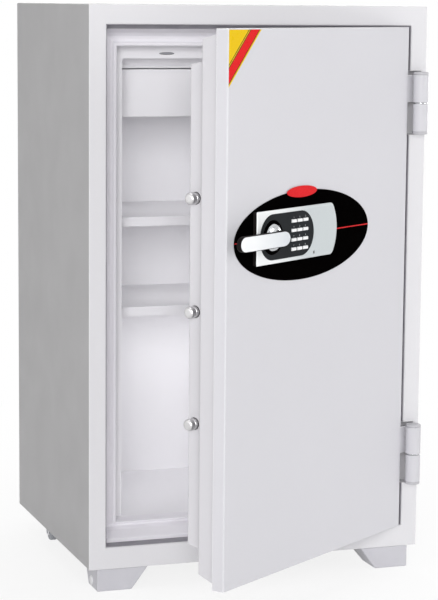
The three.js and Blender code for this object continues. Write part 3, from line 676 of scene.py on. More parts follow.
def gloss_black(name, base):
    """Polished black with fine dust and a faint ripple."""
    material, tree, where = blank_material(name)
    dust = patches(tree, where, 1400, 3, start=0.62, end=0.8)
    body = tinted(tree, dust, base, paler(base, 0.02))
    shaded(tree, {
        "Base Color": tinted(tree, wear_and_highlight_edges(tree, 0.7 * MM), body, paler(base, 0.1)),
        "Roughness": patches(tree, where, 30, 3, 0.28, 0.4),
        "Normal": relief(tree, grain(tree, where, 160, 2), 0.02 * MM, 0.4),
        "Specular IOR Level": 0,
    })
    return material


def silver_lacquer(name, base, metallic, highlight_end):
    """Silver lacquer on a moulding: a fine flake under a soft gloss, with a painted highlight that
    whitens it from one x to another and along its edges.
    """
    material, tree, where = blank_material(name)
    flake = patches(tree, where, 2600, 2, start=0.35)
    body = tinted(tree, flake, darker(base, 0.07), paler(base, 0.1))
    across = add_node(tree, "SeparateXYZ", {"Vector": where}).outputs["X"]
    # Painted highlight: the lacquer turns whiter towards its left end.
    body = tinted(tree, stretched(tree, across, *highlight_end, 1, 0), body, paler(base, 0.7))
    shaded(tree, {
        "Base Color": tinted(tree, wear_and_highlight_edges(tree, 0.9 * MM), body, paler(base, 0.7)),
        "Roughness": patches(tree, where, 90, 2, 0.3, 0.42),
        "Normal": relief(tree, grain(tree, where, 1500, 2), 0.02 * MM, 0.5),
        "Metallic": metallic,
        "Coat Weight": 0.15,
        "Coat Roughness": 0.2,
    })
    return material


def printed(name, base):
    """Printed or enamelled colour with a little unevenness."""
    material, tree, where = blank_material(name)
    body = tinted(tree, patches(tree, where, 420, 3), darker(base, 0.08), paler(base, 0.01))
    shaded(tree, {
        "Base Color": tinted(tree, wear_and_highlight_edges(tree, 0.5 * MM), body, paler(base, 0.05)),
        "Roughness": patches(tree, where, 200, 2, 0.29, 0.43),
        "Specular IOR Level": 0.1,
    })
    return material


def filling(name):
    """Pale mineral filling, coarse and porous."""
    material, tree, where = blank_material(name)
    pores = grain(tree, where, 240, 6, 0.7)
    shaded(tree, {
        "Base Color": tinted(tree, pores, shade(160, 156, 148), shade(204, 200, 192)),
        "Roughness": 0.95,
        "Normal": relief(tree, pores, 1.2 * MM, 0.8),
    })
    return material


def rubber(name, base):
    """Grey extruded rubber with dust in its pores."""
    material, tree, where = blank_material(name)
    dust = patches(tree, where, 40, 4, start=0.35, end=0.75)
    shaded(tree, {
        "Base Color": tinted(tree, dust, darker(base, 0.06), paler(base, 0.07)),
        "Roughness": 0.72,
        "Normal": relief(tree, grain(tree, where, 1500, 3), 0.06 * MM, 0.6),
    })
    return material


def sticker_print(name, yellow, red):
    """A plain diagonal sticker: yellow field, a red band along its long side and thin black lines."""
    material, tree, where = blank_material(name)
    from_corner = add_node(tree, "Attribute", attribute_name="from_corner").outputs["Fac"]
    field = printed_bands(tree, from_corner, yellow, red)
    paper = patches(tree, where, 800, 3, 0, 0.04)
    shaded(tree, {
        "Base Color": tinted(tree, paper, field, (0.6, 0.6, 0.5)),
        "Roughness": patches(tree, where, 60, 2, 0.25, 0.4),
        "Specular IOR Level": 0.05,
    })
    return material


def printed_bands(tree, share, yellow, red):
    """Hard bands of colour along a share from the sticker's corner to its long side."""
    ramp = add_node(tree, "ValToRGB", {"Fac": share})
    ramp.color_ramp.interpolation = "CONSTANT"
    black = shade(18, 16, 14)
    elements = ramp.color_ramp.elements
    stops = (
        (0.0, yellow),
        (0.60, black),
        (0.625, yellow),
        (0.65, black),
        (0.675, red),
        (0.93, black),
        (0.955, yellow),
    )
    while len(elements) < len(stops):
        elements.new(0.5)
    for element, (position, value) in zip(elements, stops):
        element.position = position
        element.color = (*value, 1)
    return ramp.outputs["Color"]


finishes = {}


def part_way(node, *shares):
    """Places at shares of the way across a node, from its left end to its right."""
    low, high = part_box(node)
    return [low.x + share * (high.x - low.x) for share in shares]


def mix_finishes(colours):
    """Mixes every finish once, from the colour settings."""
    c = {name: tuple(getattr(colours, name)) for name in colours.__annotations__}
    silver = shade(196, 198, 200)
    dull = {"shine": 0.02, "bloom": 0.004}
    finishes.update(
        casing=coated_metal("casing_paint", c["casing"], 0.5, edge_light=0.35, clouds=0.012),
        # Frame and door: their edges are painted almost to white, a painted highlight along the
        # rounded edges.
        frame=coated_metal("frame_paint", c["front"], edge=1.8 * MM, edge_light=0.85),
        door=coated_metal("door_paint", c["door"], edge=2.8 * MM, edge_light=1),
        # Jamb and plug steps: painted shade darkens their coves and roots, and the steps take the jamb
        # paint made darker as painted shade.
        jamb=coated_metal("jamb_paint", c["jamb"], 0.5, edge_light=0.4, corners=0.04),
        steps=coated_metal(
            "step_paint", darker(c["jamb"], 0.2), 0.5, edge_light=0.4, corners=0.52
        ),
        liner=coated_metal("liner_paint", c["liner"], 0.5),
        # Hinges: painted shade darkens the creases between tab, web and barrel; each cap is the door
        # paint made darker, painted shade on the knuckle's rounded end.
        hinge=coated_metal(
            "hinge_paint", darker(c["door"], 0.07), edge=0.7 * MM, corners=0.75, reach=7 * MM
        ),
        hinge_cap=coated_metal(
            "cap_paint", darker(c["door"], 0.27), edge=0.4 * MM, edge_light=0.2
        ),
        core=filling("mineral_filling"),
        seal=rubber("seal_rubber", c["seal"]),
        foot=moulded("foot_plastic", c["foot"]),
        plug=moulded("plug_plastic", paler(c["foot"], 0.55), 0.4),
        black=gloss_black("gloss_black", c["black"]),
        soft_black=moulded("lever_black", shade(30, 26, 26), 0.42, **dull),
        # Cover and lever face: a painted highlight whitens their left ends.
        cover=silver_lacquer("lock_silver", c["cover"], 0.12, part_way("lock_cover", 0.2, 0.62)),
        panel=moulded("keypad_film", c["panel"], 0.45, texture=2200, **dull),
        key=moulded("key_plastic", c["key"], 0.35, edge=0.4 * MM),
        mark=printed("key_marks", silver),
        lever=silver_lacquer("lever_lacquer", c["lever"], 0.03, part_way("lever_face", 0.25, 1.1)),
        chrome=metal("bright_chrome", silver, 0.14),
        steel=metal("zinc_steel", shade(196, 196, 200), 0.36),
        bolt=metal("bolt_steel", shade(206, 205, 206), 0.34),
        wheel=moulded("wheel_nylon", shade(158, 160, 166)),
        red=printed("red_enamel", c["red"]),
        # Painted shade: a dark grey ellipse stands for the shadowed hollow of the lintel's slot.
        lens=moulded("lens_smoke", shade(150, 151, 156), 0.2),
        sticker=sticker_print("corner_print", c["yellow"], c["red"]),
    )


# Fixed body

class SAFE_OT_body(bpy.types.Operator):
    """Builds the smooth outer casing and the front frame with its hinge notches"""

    bl_idname = "safe.body"
    bl_label = "Casing and frame"

    def execute(self, context):
        sizes = context.scene.safe_sizes
        self.casing(sizes)
        self.front_frame(opening_box(sizes), sizes.lip_round)
        for look, nodes in (
            ("liner", ("inner_liner", "lower_shelf", "upper_shelf", "drawer_top_rail", "drawer")),
            ("jamb", ("bolt_channel",)),
            ("seal", ("door_seal",)),
            ("core", ("fire_insulation", "door_core")),
            ("steel", ("left_caster_plate", "right_caster_plate", "bolt_bar", "lock_crank")),
            ("steel", ("left_drawer_runner", "right_drawer_runner")),
        ):
            for node in nodes:
                paint_node(node, look)
        return {"FINISHED"}

    def casing(self, sizes):
        """A folded shell: inner wall, front rim, outer wall and rounded back."""
        sheet = 2 * MM
        back_round = 3 * MM
        outline = [
            (sheet, BODY.back + sheet),
            (sheet, BODY.front),
            (0, BODY.front),
            (0, BODY.back),
            (back_round, BODY.back),
        ]
        rows = BODY.frames(fillet(outline, {3: back_round * 0.95}))
        shell = loft("casing_shell", rows, corner=sizes.body_corner)
        complete(shell, FACE, "casing", "casing", "safe", "outer_casing")

    def front_frame(self, opening, lip):
        """A flat lip that turns into the rebate, notched for both hinges with a pocket behind each."""
        sheet = 2.2 * MM
        turn_in = 26 * MM
        edge = 1 * MM
        clear_front = 5 * MM
        pocket_wall = 0.8 * MM
        pocket_front = -0.4 * MM
        notch_start = opening.x1 - 4 * MM
        outer = [(0, -sheet), (0, -edge), (edge * 0.3, -edge * 0.3), (edge, 0)]
        inner = [(-lip, 0), (0, 0), (0, -turn_in), (-sheet, -turn_in), (-sheet, -sheet)]
        rows = BODY.frames(outer) + opening.frames(fillet(inner, {1: lip * 0.999}))
        ring = loft("front_lip", rows + rows[:1], closed=True)
        for name in LEVELS:
            cut_with(ring, self.notch("notch", name, notch_start, 0, clear_front))
            pocket = self.notch(f"{name}_hinge_pocket", name, opening.x1, 0, pocket_front)
            cut_with(pocket, self.notch("hollow", name, notch_start, pocket_wall, clear_front))
            complete(pocket, FACE, "frame", "frame_paint", "safe", width=0.3 * MM, steps=1)
        complete(ring, FACE, "frame", "frame_paint", "safe", "front_frame")

    def notch(self, name, level, start, inset, front):
        """A block in the notch that one hinge needs, from a start across and less an inset."""
        clear = 2 * MM - inset
        end = HINGE.x + 7 * MM - inset
        back = -24 * MM + inset
        low = drawn_box(f"{level}_frame_knuckle").z0 - clear
        high = door_box(f"{level}_door_knuckle").z1 + clear
        return block(name, Box(start, end, low, high, back, front))


def opening_box(sizes):
    """The door opening, from the door plate and its gaps."""
    return DOOR.grown(sizes.side_gap, sizes.end_gap)


class SAFE_OT_jamb(bpy.types.Operator):
    """Builds the coved moulding with its nose round the opening, and a dark grey ellipse of painted
    shade in the lintel's slot
    """

    bl_idname = "safe.jamb"
    bl_label = "Jamb moulding"

    def execute(self, context):
        sizes = context.scene.safe_sizes
        opening = opening_box(sizes)
        ring = drawn_box("jamb_moulding")
        start, back = ring.front, ring.back
        reach = sizes.nose_reach
        face = back + 10 * MM
        groove = face - sizes.cove_depth
        seat = 0.4 * MM
        hidden_back = start - 3 * MM
        hidden_nose = 12.2 * MM
        profile = [
            (seat, start),
            (7.2 * MM, start),
            (13.6 * MM, face + 5 * MM),
            (18.5 * MM, groove + 2.5 * MM),
            (reach - 9 * MM, groove),
            (reach - 4.5 * MM, face - 0.5 * MM),
            (reach, face - 1 * MM),
            (reach - 0.5 * MM, back),
        ]
        arcs = {1: 2 * MM, 2: 4 * MM, 3: 4 * MM, 4: 6 * MM, 5: 2.6 * MM, 6: 2 * MM}
        profile = fillet(profile, arcs, 6)
        profile += [
            (hidden_nose, back),
            (hidden_nose, face + 1 * MM),
            (4.2 * MM, hidden_back),
            (seat, hidden_back),
        ]
        low_reach = 24.7 * MM
        alike = 16 * MM
        share = (low_reach - alike) / (reach - alike)
        rows = [
            opening.inset(inset, inset, min(inset, alike + (inset - alike) * share), forward)
            for inset, forward in profile
        ]
        moulding = loft("coved_jamb", rows + rows[:1], closed=True)
        complete(moulding, FACE, "jamb", "jamb", "safe", "jamb_moulding", smooth=28)
        self.lens(opening.z1 - reach)
        return {"FINISHED"}

    def lens(self, lintel):
        """A dark grey ellipse in the lintel's slot, painted shade standing for its hollow, under the
        middle of lintel and rail.
        """
        across = -125 * MM
        half_width, half_height = 12.6 * MM, 2 * MM
        up = (lintel + drawn_box("drawer_top_rail").z1) / 2 - 2.4 * MM
        back = drawn_box("inner_liner").front - 1.4 * MM
        lens = ellipse("lintel_lens", (across, up, back), half_width, half_height, 40)
        thicken(1 * MM, 0.5 * MM)
        complete(lens, FACE, "lens", "lock_black", "safe")


class SAFE_OT_feet(bpy.types.Operator):
    """Builds both front feet with their round plugs"""

    bl_idname = "safe.feet"
    bl_label = "Front feet"

    def execute(self, context):
        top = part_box("left_foot")[1].z
        lean_in = 27 * MM
        lean_back = 20 * MM
        for side, sign in (("left", -1), ("right", 1)):
            low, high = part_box(f"{side}_foot")
            outer, inner = (low.x, high.x) if sign < 0 else (high.x, low.x)
            rows = [
                (*sorted((outer, inner + sign * narrow)), low.y, high.y - short, rise)
                for rise, narrow, short in ((0, lean_in, lean_back), (top, 0, 0))
            ]
            foot = loft(f"{side}_trapezoid_foot", rows)
            complete(
                foot, UPRIGHT, "foot", "foot", "safe", f"{side}_foot", width=1.6 * MM, steps=3
            )
            self.plug(side, sign)
        return {"FINISHED"}

    def plug(self, side, sign):
        """A round push-in plug with a shallow dish, in the foot's outer face."""
        low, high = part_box(f"{side}_foot_plug")
        radius = (high.z - low.z) / 2
        proud = high.x - low.x
        profile = [
            (radius, 0),
            (radius, proud * 0.1),
            (radius - 1.1 * MM, proud * 0.1),
            (radius - 1.1 * MM, proud * 0.6),
            (radius - 1.7 * MM, proud),
            (radius - 3 * MM, proud),
            (radius * 0.25, proud * 0.8),
        ]
        plug = turned(f"{side}_round_plug", profile, 48)
        seat = low.x if sign > 0 else high.x
        middle = Vector((seat, (low.y + high.y) / 2, (low.z + high.z) / 2))
        where = Matrix.Translation(middle) @ Matrix.Rotation(sign * QUARTER_TURN, 4, "Y")
        complete(plug, where, "plug", "foot", "safe", f"{side}_foot_plug", smooth=40)


class SAFE_OT_casters(bpy.types.Operator):
    """Finishes both rear casters and turns their wheels"""

    bl_idname = "safe.casters"
    bl_label = "Rear casters"

    def execute(self, context):
        for side in ("left", "right"):
            paint_node(f"{side}_caster_fork", "plug")
            low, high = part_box(f"{side}_caster_wheel")
            radius = (high.z - low.z) / 2
            axle = (high.x - low.x) / 2
            tread = 6 * MM
            bore = 3 * MM
            profile = [
                (bore, axle),
                (bore, tread + 0.5 * MM),
                (radius - 5.5 * MM, tread + 0.5 * MM),
                (radius - 5 * MM, tread - 0.6 * MM),
                (radius - 3.4 * MM, tread - 0.6 * MM),
                (radius - 2.8 * MM, tread),
                (radius - 1.2 * MM, tread - 0.1 * MM),
                (radius - 0.3 * MM, tread - 1.2 * MM),
                (radius, tread - 2.6 * MM),
            ]
            profile += [(r, -h) for r, h in reversed(profile)]
            wheel = turned(f"{side}_nylon_wheel", profile, 56)
            where = Matrix.Translation((low + high) / 2) @ LYING
            names = ("tyre", f"{side}_wheel", f"{side}_caster_wheel")
            complete(wheel, where, "wheel", *names, smooth=40)
        return {"FINISHED"}


class SAFE_OT_hinges(bpy.types.Operator):
    """Builds both lift-off hinges: knuckles, leaves, washers and pins"""

    bl_idname = "safe.hinges"
    bl_label = "Hinges"
    # How far a stand stays inside its knuckle's ends, and the rounding beside a cap
    shy = 0.2 * MM
    seam_edge = 0.5 * MM

    def execute(self, context):
        sizes = context.scene.safe_sizes
        for name in LEVELS:
            self.frame_knuckle(name, sizes)
            self.door_knuckle(name, sizes)
            self.washer(name)
            self.pin(name)
        return {"FINISHED"}

    def barrel(self, name, radius, low, high, edge):
        """A knuckle with rounded ends, standing on the hinge's axis."""
        bottom = [
            (radius - edge * (1 - math.sin(angle)), low + edge * (1 - math.cos(angle)))
            for angle in (QUARTER_TURN * step / 4 for step in range(5))
        ]
        top = [(r, low + high - h) for r, h in reversed(bottom)]
        piece = turned(name, bottom + top)
        place(piece, ON_HINGE)
        return piece

    def frame_knuckle(self, name, sizes):
        """The frame's half: a barrel on a stand behind it, and its cap painted darker as shade."""
        node = f"{name}_frame_knuckle"
        box = drawn_box(node)
        radius = HINGE.x - box.x0
        forward = FRONT_Y - HINGE.y - radius + 2 * MM
        seam = box.z0 + sizes.hinge_cap
        for part, low, high, edge, look, nodes in (
            ("fixed_knuckle", seam, box.z1, self.seam_edge, "hinge", [node]),
            ("fixed_cap", box.z0, seam, sizes.knuckle_edge, "hinge_cap", []),
        ):
            barrel = self.barrel(f"{name}_{part}", radius, low, high, edge)
            limits = (HINGE.x - 2 * MM, box.x1, low + self.shy, high - self.shy)
            stand = block("stand", Box(*limits, 0, forward))
            place(stand, FACE)
            combined(barrel, stand, "UNION")
            complete(
                barrel, UPRIGHT, look, "frame_paint", "safe", *nodes, width=0.5 * MM, smooth=40
            )

    def door_knuckle(self, name, sizes):
        """The door's half: a barrel with the leaf that joins it to the plate, and its cap painted
        darker as shade.
        """
        node = f"{name}_door_knuckle"
        box = door_box(node)
        radius = box.x1 - HINGE.x
        seam = box.z1 - sizes.hinge_cap
        barrel = self.barrel(f"{name}_lift_knuckle", radius, box.z0, seam, self.seam_edge)
        cap = self.barrel(f"{name}_lift_cap", radius, seam, box.z1, sizes.knuckle_edge)
        complete(cap, SWING, "hinge_cap", "door_paint", "door", smooth=40)
        low, high = box.z0 + self.shy, seam - self.shy
        start, end = HINGE.x - 1 * MM, HINGE.x + 3 * MM
        web = block("web", Box(start, end, low, high, -5 * MM, 6 * MM))
        place(web, FACE)
        combined(barrel, web, "UNION")
        complete(barrel, SWING, "hinge", "door_paint", "door", node, width=0.4 * MM, smooth=40)
        self.tab(name, low, high, end)

    def tab(self, name, low, high, end):
        """The tab that carries the door's face on to the knuckle, sunk into the plate at its start."""
        back, sunk, face = -5 * MM, -0.4 * MM, 0.04 * MM
        hidden_start = DOOR.x1 - 6 * MM
        seen_start = DOOR.x1 - 3.2 * MM
        rows = [
            (hidden_start, end, low, high, back),
            (hidden_start, end, low, high, sunk),
            (seen_start, end, low, high, face),
        ]
        tab = loft(f"{name}_door_tab", rows)
        complete(
            tab, DOOR_FACE, "door", "door_paint", "door", width=0.2 * MM, steps=1, smooth=40
        )

    def washer(self, name):
        """A bright ring between the knuckles."""
        node = f"{name}_hinge_washer"
        box = drawn_box(node)
        outer = box.x1 - HINGE.x
        inner = 4.4 * MM
        corner = 0.5 * MM
        profile = fillet(
            [(inner, box.z0), (outer, box.z0), (outer, box.z1), (inner, box.z1)],
            {1: corner, 2: corner},
        )
        ring = turned(f"{name}_bright_washer", profile, closed=True)
        complete(ring, ON_HINGE, "chrome", "steel", "safe", node, smooth=40)

    def pin(self, name):
        """The pin inside both knuckles."""
        node = f"{name}_hinge_pin"
        box = drawn_box(node)
        radius = box.x1 - HINGE.x
        tip = 1.5 * MM
        profile = [(radius, box.z0), (radius, box.z1 - tip), (radius - tip, box.z1)]
        pin = turned(f"{name}_steel_pin", profile, 40)
        complete(pin, ON_HINGE, "steel", "steel", "safe", node, smooth=40)


class SAFE_OT_door(bpy.types.Operator):
    """Builds the folded door plate and the stepped plug behind it"""

    bl_idname = "safe.door"
    bl_label = "Door"

    def execute(self, context):
        sizes = context.scene.safe_sizes
        self.plate(sizes)
        self.plug(sizes)
        return {"FINISHED"}

    def plate(self, sizes):
        """The front plate, its edge rounded in front and folded back."""
        sheet = 1.5 * MM
        flange = door_box("door_plug")
        edge = flange.front - 1.8 * MM
        outline = [
            (sheet, -sheet),
            (sheet, edge),
            (0, edge),
            (0, 0),
            (sizes.door_round, 0),
        ]
        rows = DOOR.frames(fillet(outline, {2: 0.7 * MM, 3: sizes.door_round * 0.98}, 7))
        plate = loft("door_plate", rows)
        cut_with(plate, spindle_hole())
        complete(plate, DOOR_FACE, "door", "door_paint", "door", "door_skin")

    def plug(self, sizes):
        """Two moulded steps with rounded shoulders and coved roots, and the bolts' holes."""
        box = door_box("door_plug")
        front, back = box.front, box.back
        step = door_box("door_core").back - 3.8 * MM
        flange = front - 1.9 * MM
        wall = 3 * MM
        rim = 1.7 * MM
        root = 33.5 * MM
        bolt_side = 36 * MM
        bolt_end = 52.5 * MM
        big = sizes.step_round
        outline = [
            (rim, front),
            (rim, flange),
            (7 * MM, flange),
            (15.6 * MM, step),
            (root, step),
            (bolt_side, back),
            (60 * MM, back),
        ]
        outer = []
        for inset, forward in fillet(outline, {2: 3 * MM, 3: big, 4: 4 * MM, 5: big}, 7):
            fall = (step - forward) / (step - back) if inset >= root else 0
            end = inset + self.extra(inset, root, fall)
            outer.append(DOOR.inset(inset, end, end, forward))
        lining = [
            DOOR.inset(side, end, end, forward)
            for side, end, forward in (
                (bolt_side + wall, bolt_end + wall, back + wall),
                (bolt_side + wall, bolt_end - 4 * MM + wall, step + wall),
                (18 * MM, 18 * MM, step + wall),
                (10 * MM, 10 * MM, front),
            )
        ]
        plug = loft("stepped_plug", lining + outer)
        cut_with(plug, *self.bolt_holes())
        # The plug wears the darker step paint, with painted shade in its roots.
        complete(plug, DOOR_FACE, "steps", "jamb", "door", "door_plug")

    def extra(self, inset, root, fall):
        """How much further than at the sides a row of the plug stands in at its top and bottom."""
        start = 17 * MM
        on_step = 12.1 * MM
        down_wall = 4.4 * MM
        along = min(1, max(0, (inset - start) / (root - start)))
        return on_step * along + down_wall * min(1, max(0, fall))

    def bolt_holes(self):
        """Round cutters for the three bolts in the plug's free side."""
        for name in BOLTS:
            box = door_box(f"{name}_bolt")
            radius = box.tall / 2 + 0.5 * MM
            hole = turned(f"{name}_hole", [(radius, 0), (radius, 70 * MM)], 48)
            middle = Vector((DOOR.x0 - 10 * MM, box.up, box.deep))
            place(hole, Matrix.Translation(middle) @ LYING)
            yield hole


def lever_axis():
    """The place of the lever's axis on the shut door."""
    hub = door_box("handle_hub")
    return Matrix.Translation((hub.across, hub.up, 0))


def spindle_hole():
    """A round cutter on the lever's axis, through everything it meets."""
    radius = 7 * MM
    hole = turned("spindle_hole", [(radius, BEHIND), (radius, BEFORE)], 40)
    place(hole, lever_axis())
    return hole


class SAFE_OT_bolts(bpy.types.Operator):
    """Turns the three locking bolts with their domed tips"""

    bl_idname = "safe.bolts"
    bl_label = "Locking bolts"

    def execute(self, context):
        boxes = {name: door_box(f"{name}_bolt") for name in BOLTS}
        model = boxes["lower"]
        blank = turned("bolt_blank", self.profile(model.tall / 2, model.wide))
        soften(blank, smooth=40)
        for name, box in boxes.items():
            bolt = copied(blank, f"{name}_domed_bolt")
            middle = Matrix.Translation((box.x0, box.up, box.deep))
            place(bolt, DOOR_FACE @ middle @ LYING)
            dress(bolt, "bolt", "steel", "bolts", f"{name}_bolt")
        bpy.data.objects.remove(blank)
        return {"FINISHED"}

    def profile(self, radius, length):
        """Dome, collar, groove and a slightly slimmer shank."""
        flat = radius - 4.6 * MM
        dome = [
            (flat + (radius - flat) * math.sin(a), 4.8 * MM * (1 - math.cos(a)))
            for a in (QUARTER_TURN * step / 8 for step in range(9))
        ]
        shank = radius - 0.5 * MM
        groove = radius - 1.1 * MM
        return dome + [
            (radius, 9.2 * MM),
            (groove, 9.7 * MM),
            (groove, 10.6 * MM),
            (shank, 11.1 * MM),
            (shank, length),
        ]


# Lock and handle

class SAFE_OT_lock(bpy.types.Operator):
    """Builds the oval plate with its stripe and badge, and the lock's base, cover and keypad panel"""

    bl_idname = "safe.lock"
    bl_label = "Lock"

    def execute(self, context):
        sizes = context.scene.safe_sizes
        self.oval_plate(sizes)
        self.base()
        self.cover()
        self.panel()
        return {"FINISHED"}

    def oval_plate(self, sizes):
        """The black oval, a thin red stripe on it and a blank badge on its rim."""
        box = door_box("oval_plate")
        half = (box.wide / 2, box.tall / 2)
        plate = ellipse("oval_field", (box.across, box.up, box.back), *half)
        thicken(box.thick, 0.5 * MM)
        cut_with(plate, spindle_hole())
        complete(plate, DOOR_FACE, "black", "lock_black", "door", "oval_plate")
        self.stripe(box, sizes.stripe_width / 2)
        place_on_rim = (box.across - 8 * MM, box.z1 - 2 * MM, box.front)
        half = (sizes.badge_width / 2, sizes.badge_height / 2)
        badge = ellipse("rim_badge", place_on_rim, *half)
        thicken(0.9 * MM, 0.35 * MM)
        complete(badge, DOOR_FACE, "red", "lock_black", "door")

    def stripe(self, box, half):
        """A thin band that ends on the oval's rim at both sides."""
        rise = 1.4 * MM
        shy = 0.8 * MM
        thickness = 0.15 * MM
        up = box.up + rise
        reach = box.wide / 2 * math.sqrt(1 - (2 * rise / box.tall) ** 2) - shy
        limits = (box.across - reach, box.across + reach, up - half, up + half)
        band = block("red_stripe", Box(*limits, box.front, box.front + thickness))
        complete(band, DOOR_FACE, "red", "lock_black", "door")

    def outline(self, name, box, bulge, height):
        """A flat shape with three straight sides and a bulging one, open in edit mode."""
        half = box.tall / 2
        radius = (half ** 2 + bulge ** 2) / (2 * bulge)
        middle = box.x1 - radius
        piece = circle(name, radius, 240)
        shift((middle, box.up, height))
        pick("VERT", lambda co: co.x < middle)
        shift((box.x0 - middle - radius, 0, 0))
        for point, normal in (
            ((middle, box.z1, height), (0, 1, 0)),
            ((middle, box.z0, height), (0, -1, 0)),
            ((box.x0, box.up, height), (-1, 0, 0)),
        ):
            bpy.ops.mesh.select_all(action="SELECT")
            bpy.ops.mesh.bisect(
                plane_co=point, plane_no=normal, clear_outer=True, use_fill=False
            )
        bpy.ops.mesh.select_all(action="SELECT")
        return piece

    def base(self):
        """The black base that shows as a dark rim under the cover."""
        box = door_box("lock_base")
        bulge = 12.6 * MM
        base = self.outline("lock_plinth", box, bulge, box.back)
        thicken(box.thick)
        cut_with(base, spindle_hole())
        complete(
            base, DOOR_FACE, "soft_black", "lock_black", "door", "lock_base", width=0.4 * MM
        )

    def cover(self):
        """The silver cover with its long window and a pinhole."""
        box = door_box("lock_cover")
        panel = door_box("keypad_panel")
        bulge = 13 * MM
        rim = 0.5 * MM
        gap = 0.25 * MM
        cover = self.outline("silver_cover", box, bulge, box.back)
        self.round_cover_corners(box)
        thicken(rim)
        self.bevel_cover(cover, box, rim)
        window = stadium("window", panel.grown(gap, gap), BEHIND)
        thicken(BEFORE - BEHIND)
        radius = 2.6 * MM
        pinhole = turned("pinhole", [(radius, BEHIND), (radius, BEFORE)], 24)
        middle = (DOOR.x0 + 213 * MM, box.up - 31.5 * MM, 0)
        place(pinhole, Matrix.Translation(middle))
        cut_with(cover, window, pinhole)
        complete(
            cover, DOOR_FACE, "cover", "lock_silver", "door", "lock_cover", width=0.35 * MM
        )

    def bevel_cover(self, piece, box, rim):
        """Raises the cover's face and sets it in: a little at the free side, broadly elsewhere."""
        free, far, ends = 1 * MM, 3 * MM, 3.4 * MM
        middle = (box.x0 + free * box.wide / (free + far), box.up, 0)
        opened(piece)
        pick("FACE", lambda co, normal: normal.z > 0.9 and co.z > box.back + rim / 2)
        extrude((0, 0, box.thick - rim))
        resize(1 - (free + far) / box.wide, 1 - 2 * ends / box.tall, middle)
        close_up()
        let_go()

    def round_cover_corners(self, box):
        """In edit mode, rounds the cover's corners: two small ones and two large ones."""
        large, small = 6 * MM, 1.5 * MM
        near = 0.01 * MM
        half = box.tall / 2
        inside = half - near
        bulged = box.x0 + half
        pick("VERT", lambda co: half - large < abs(co.y - box.up) < inside and co.x > bulged)
        bpy.ops.mesh.dissolve_verts()
        pick("VERT", lambda co: abs(co.y - box.up) > inside and co.x > bulged)
        bpy.ops.mesh.bevel(offset=large * 0.9, segments=6, affect="VERTICES")
        pick("VERT", lambda co: co.x < box.x0 + near)
        bpy.ops.mesh.bevel(offset=small, segments=4, affect="VERTICES")
        select("FACE")

    def panel(self):
        """The dark panel with a slot for each key."""
        box = door_box("keypad_panel")
        gap = 0.3 * MM
        panel = stadium("dark_panel", box, box.back)
        thicken(box.thick, 0.8 * MM)
        cut_with(panel, spindle_hole())
        for key in KEYS:
            slot = door_box(key).grown(gap, gap)._replace(back=0, front=BEFORE)
            cut_with(panel, block("key_slot", slot))
        names = ("keypad_panel", "door", "keypad_panel")
        complete(panel, DOOR_FACE, "panel", *names, width=0.15 * MM, steps=1)


# The keys' nodes, row by row, and what is printed over each
KEYS = [f"key_{mark}" for mark in (*"123456789", "clear", "0", "enter")]
PRINT = "123456789*0#"


class SAFE_OT_keys(bpy.types.Operator):
    """Builds the twelve keys and the small numbers over them"""

    bl_idname = "safe.keys"
    bl_label = "Keys"

    def execute(self, context):
        boxes = [door_box(node) for node in KEYS]
        start = boxes[0]
        blank = block("key_blank", start)
        self.crown(blank, start.front)
        soften(blank, 0.6 * MM, 3)
        for node, box in zip(KEYS, boxes):
            key = copied(blank, f"{node}_cap")
            step = Matrix.Translation((box.x0 - start.x0, box.z0 - start.z0, 0))
            place(key, DOOR_FACE @ step)
            dress(key, "key", "key", node, node)
        bpy.data.objects.remove(blank)
        self.numbers(context.scene.safe_sizes.digit_height, boxes)
        return {"FINISHED"}

    def crown(self, blank, front):
        """Makes the key blank's top slightly smaller than its foot."""
        narrower, lower = 0.955, 0.9
        opened(blank)
        pick("FACE", lambda co, normal: co.z > front - TOUCHING)
        bpy.ops.transform.resize(value=(narrower, lower, 1))
        let_go()

    def numbers(self, height, boxes):
        """Plain numbers printed over the keys, joined into one piece."""
        lift = 1.4 * MM
        font_size = height * 1.35
        forward = door_box("keypad_panel").front + 0.03 * MM
        pieces = []
        for mark, box in zip(PRINT, boxes):
            let_go()
            bpy.ops.object.text_add(location=(0, 0, 0))
            text = bpy.context.object
            text.data.body = mark
            text.data.size = font_size
            text.data.align_x = "CENTER"
            text.data.extrude = 0.04 * MM
            text.data.resolution_u = 3
            bpy.ops.object.convert(target="MESH")
            place(text, Matrix.Translation((box.across, box.z1 + lift, forward)))
            pieces.append(text)
        numbers = pieces[0]
        hold(numbers)
        for piece in pieces:
            piece.select_set(True)
        bpy.ops.object.join()
        numbers.name = "key_numbers"
        numbers.data.name = "key_numbers"
        complete(numbers, DOOR_FACE, "mark", "key", "door")


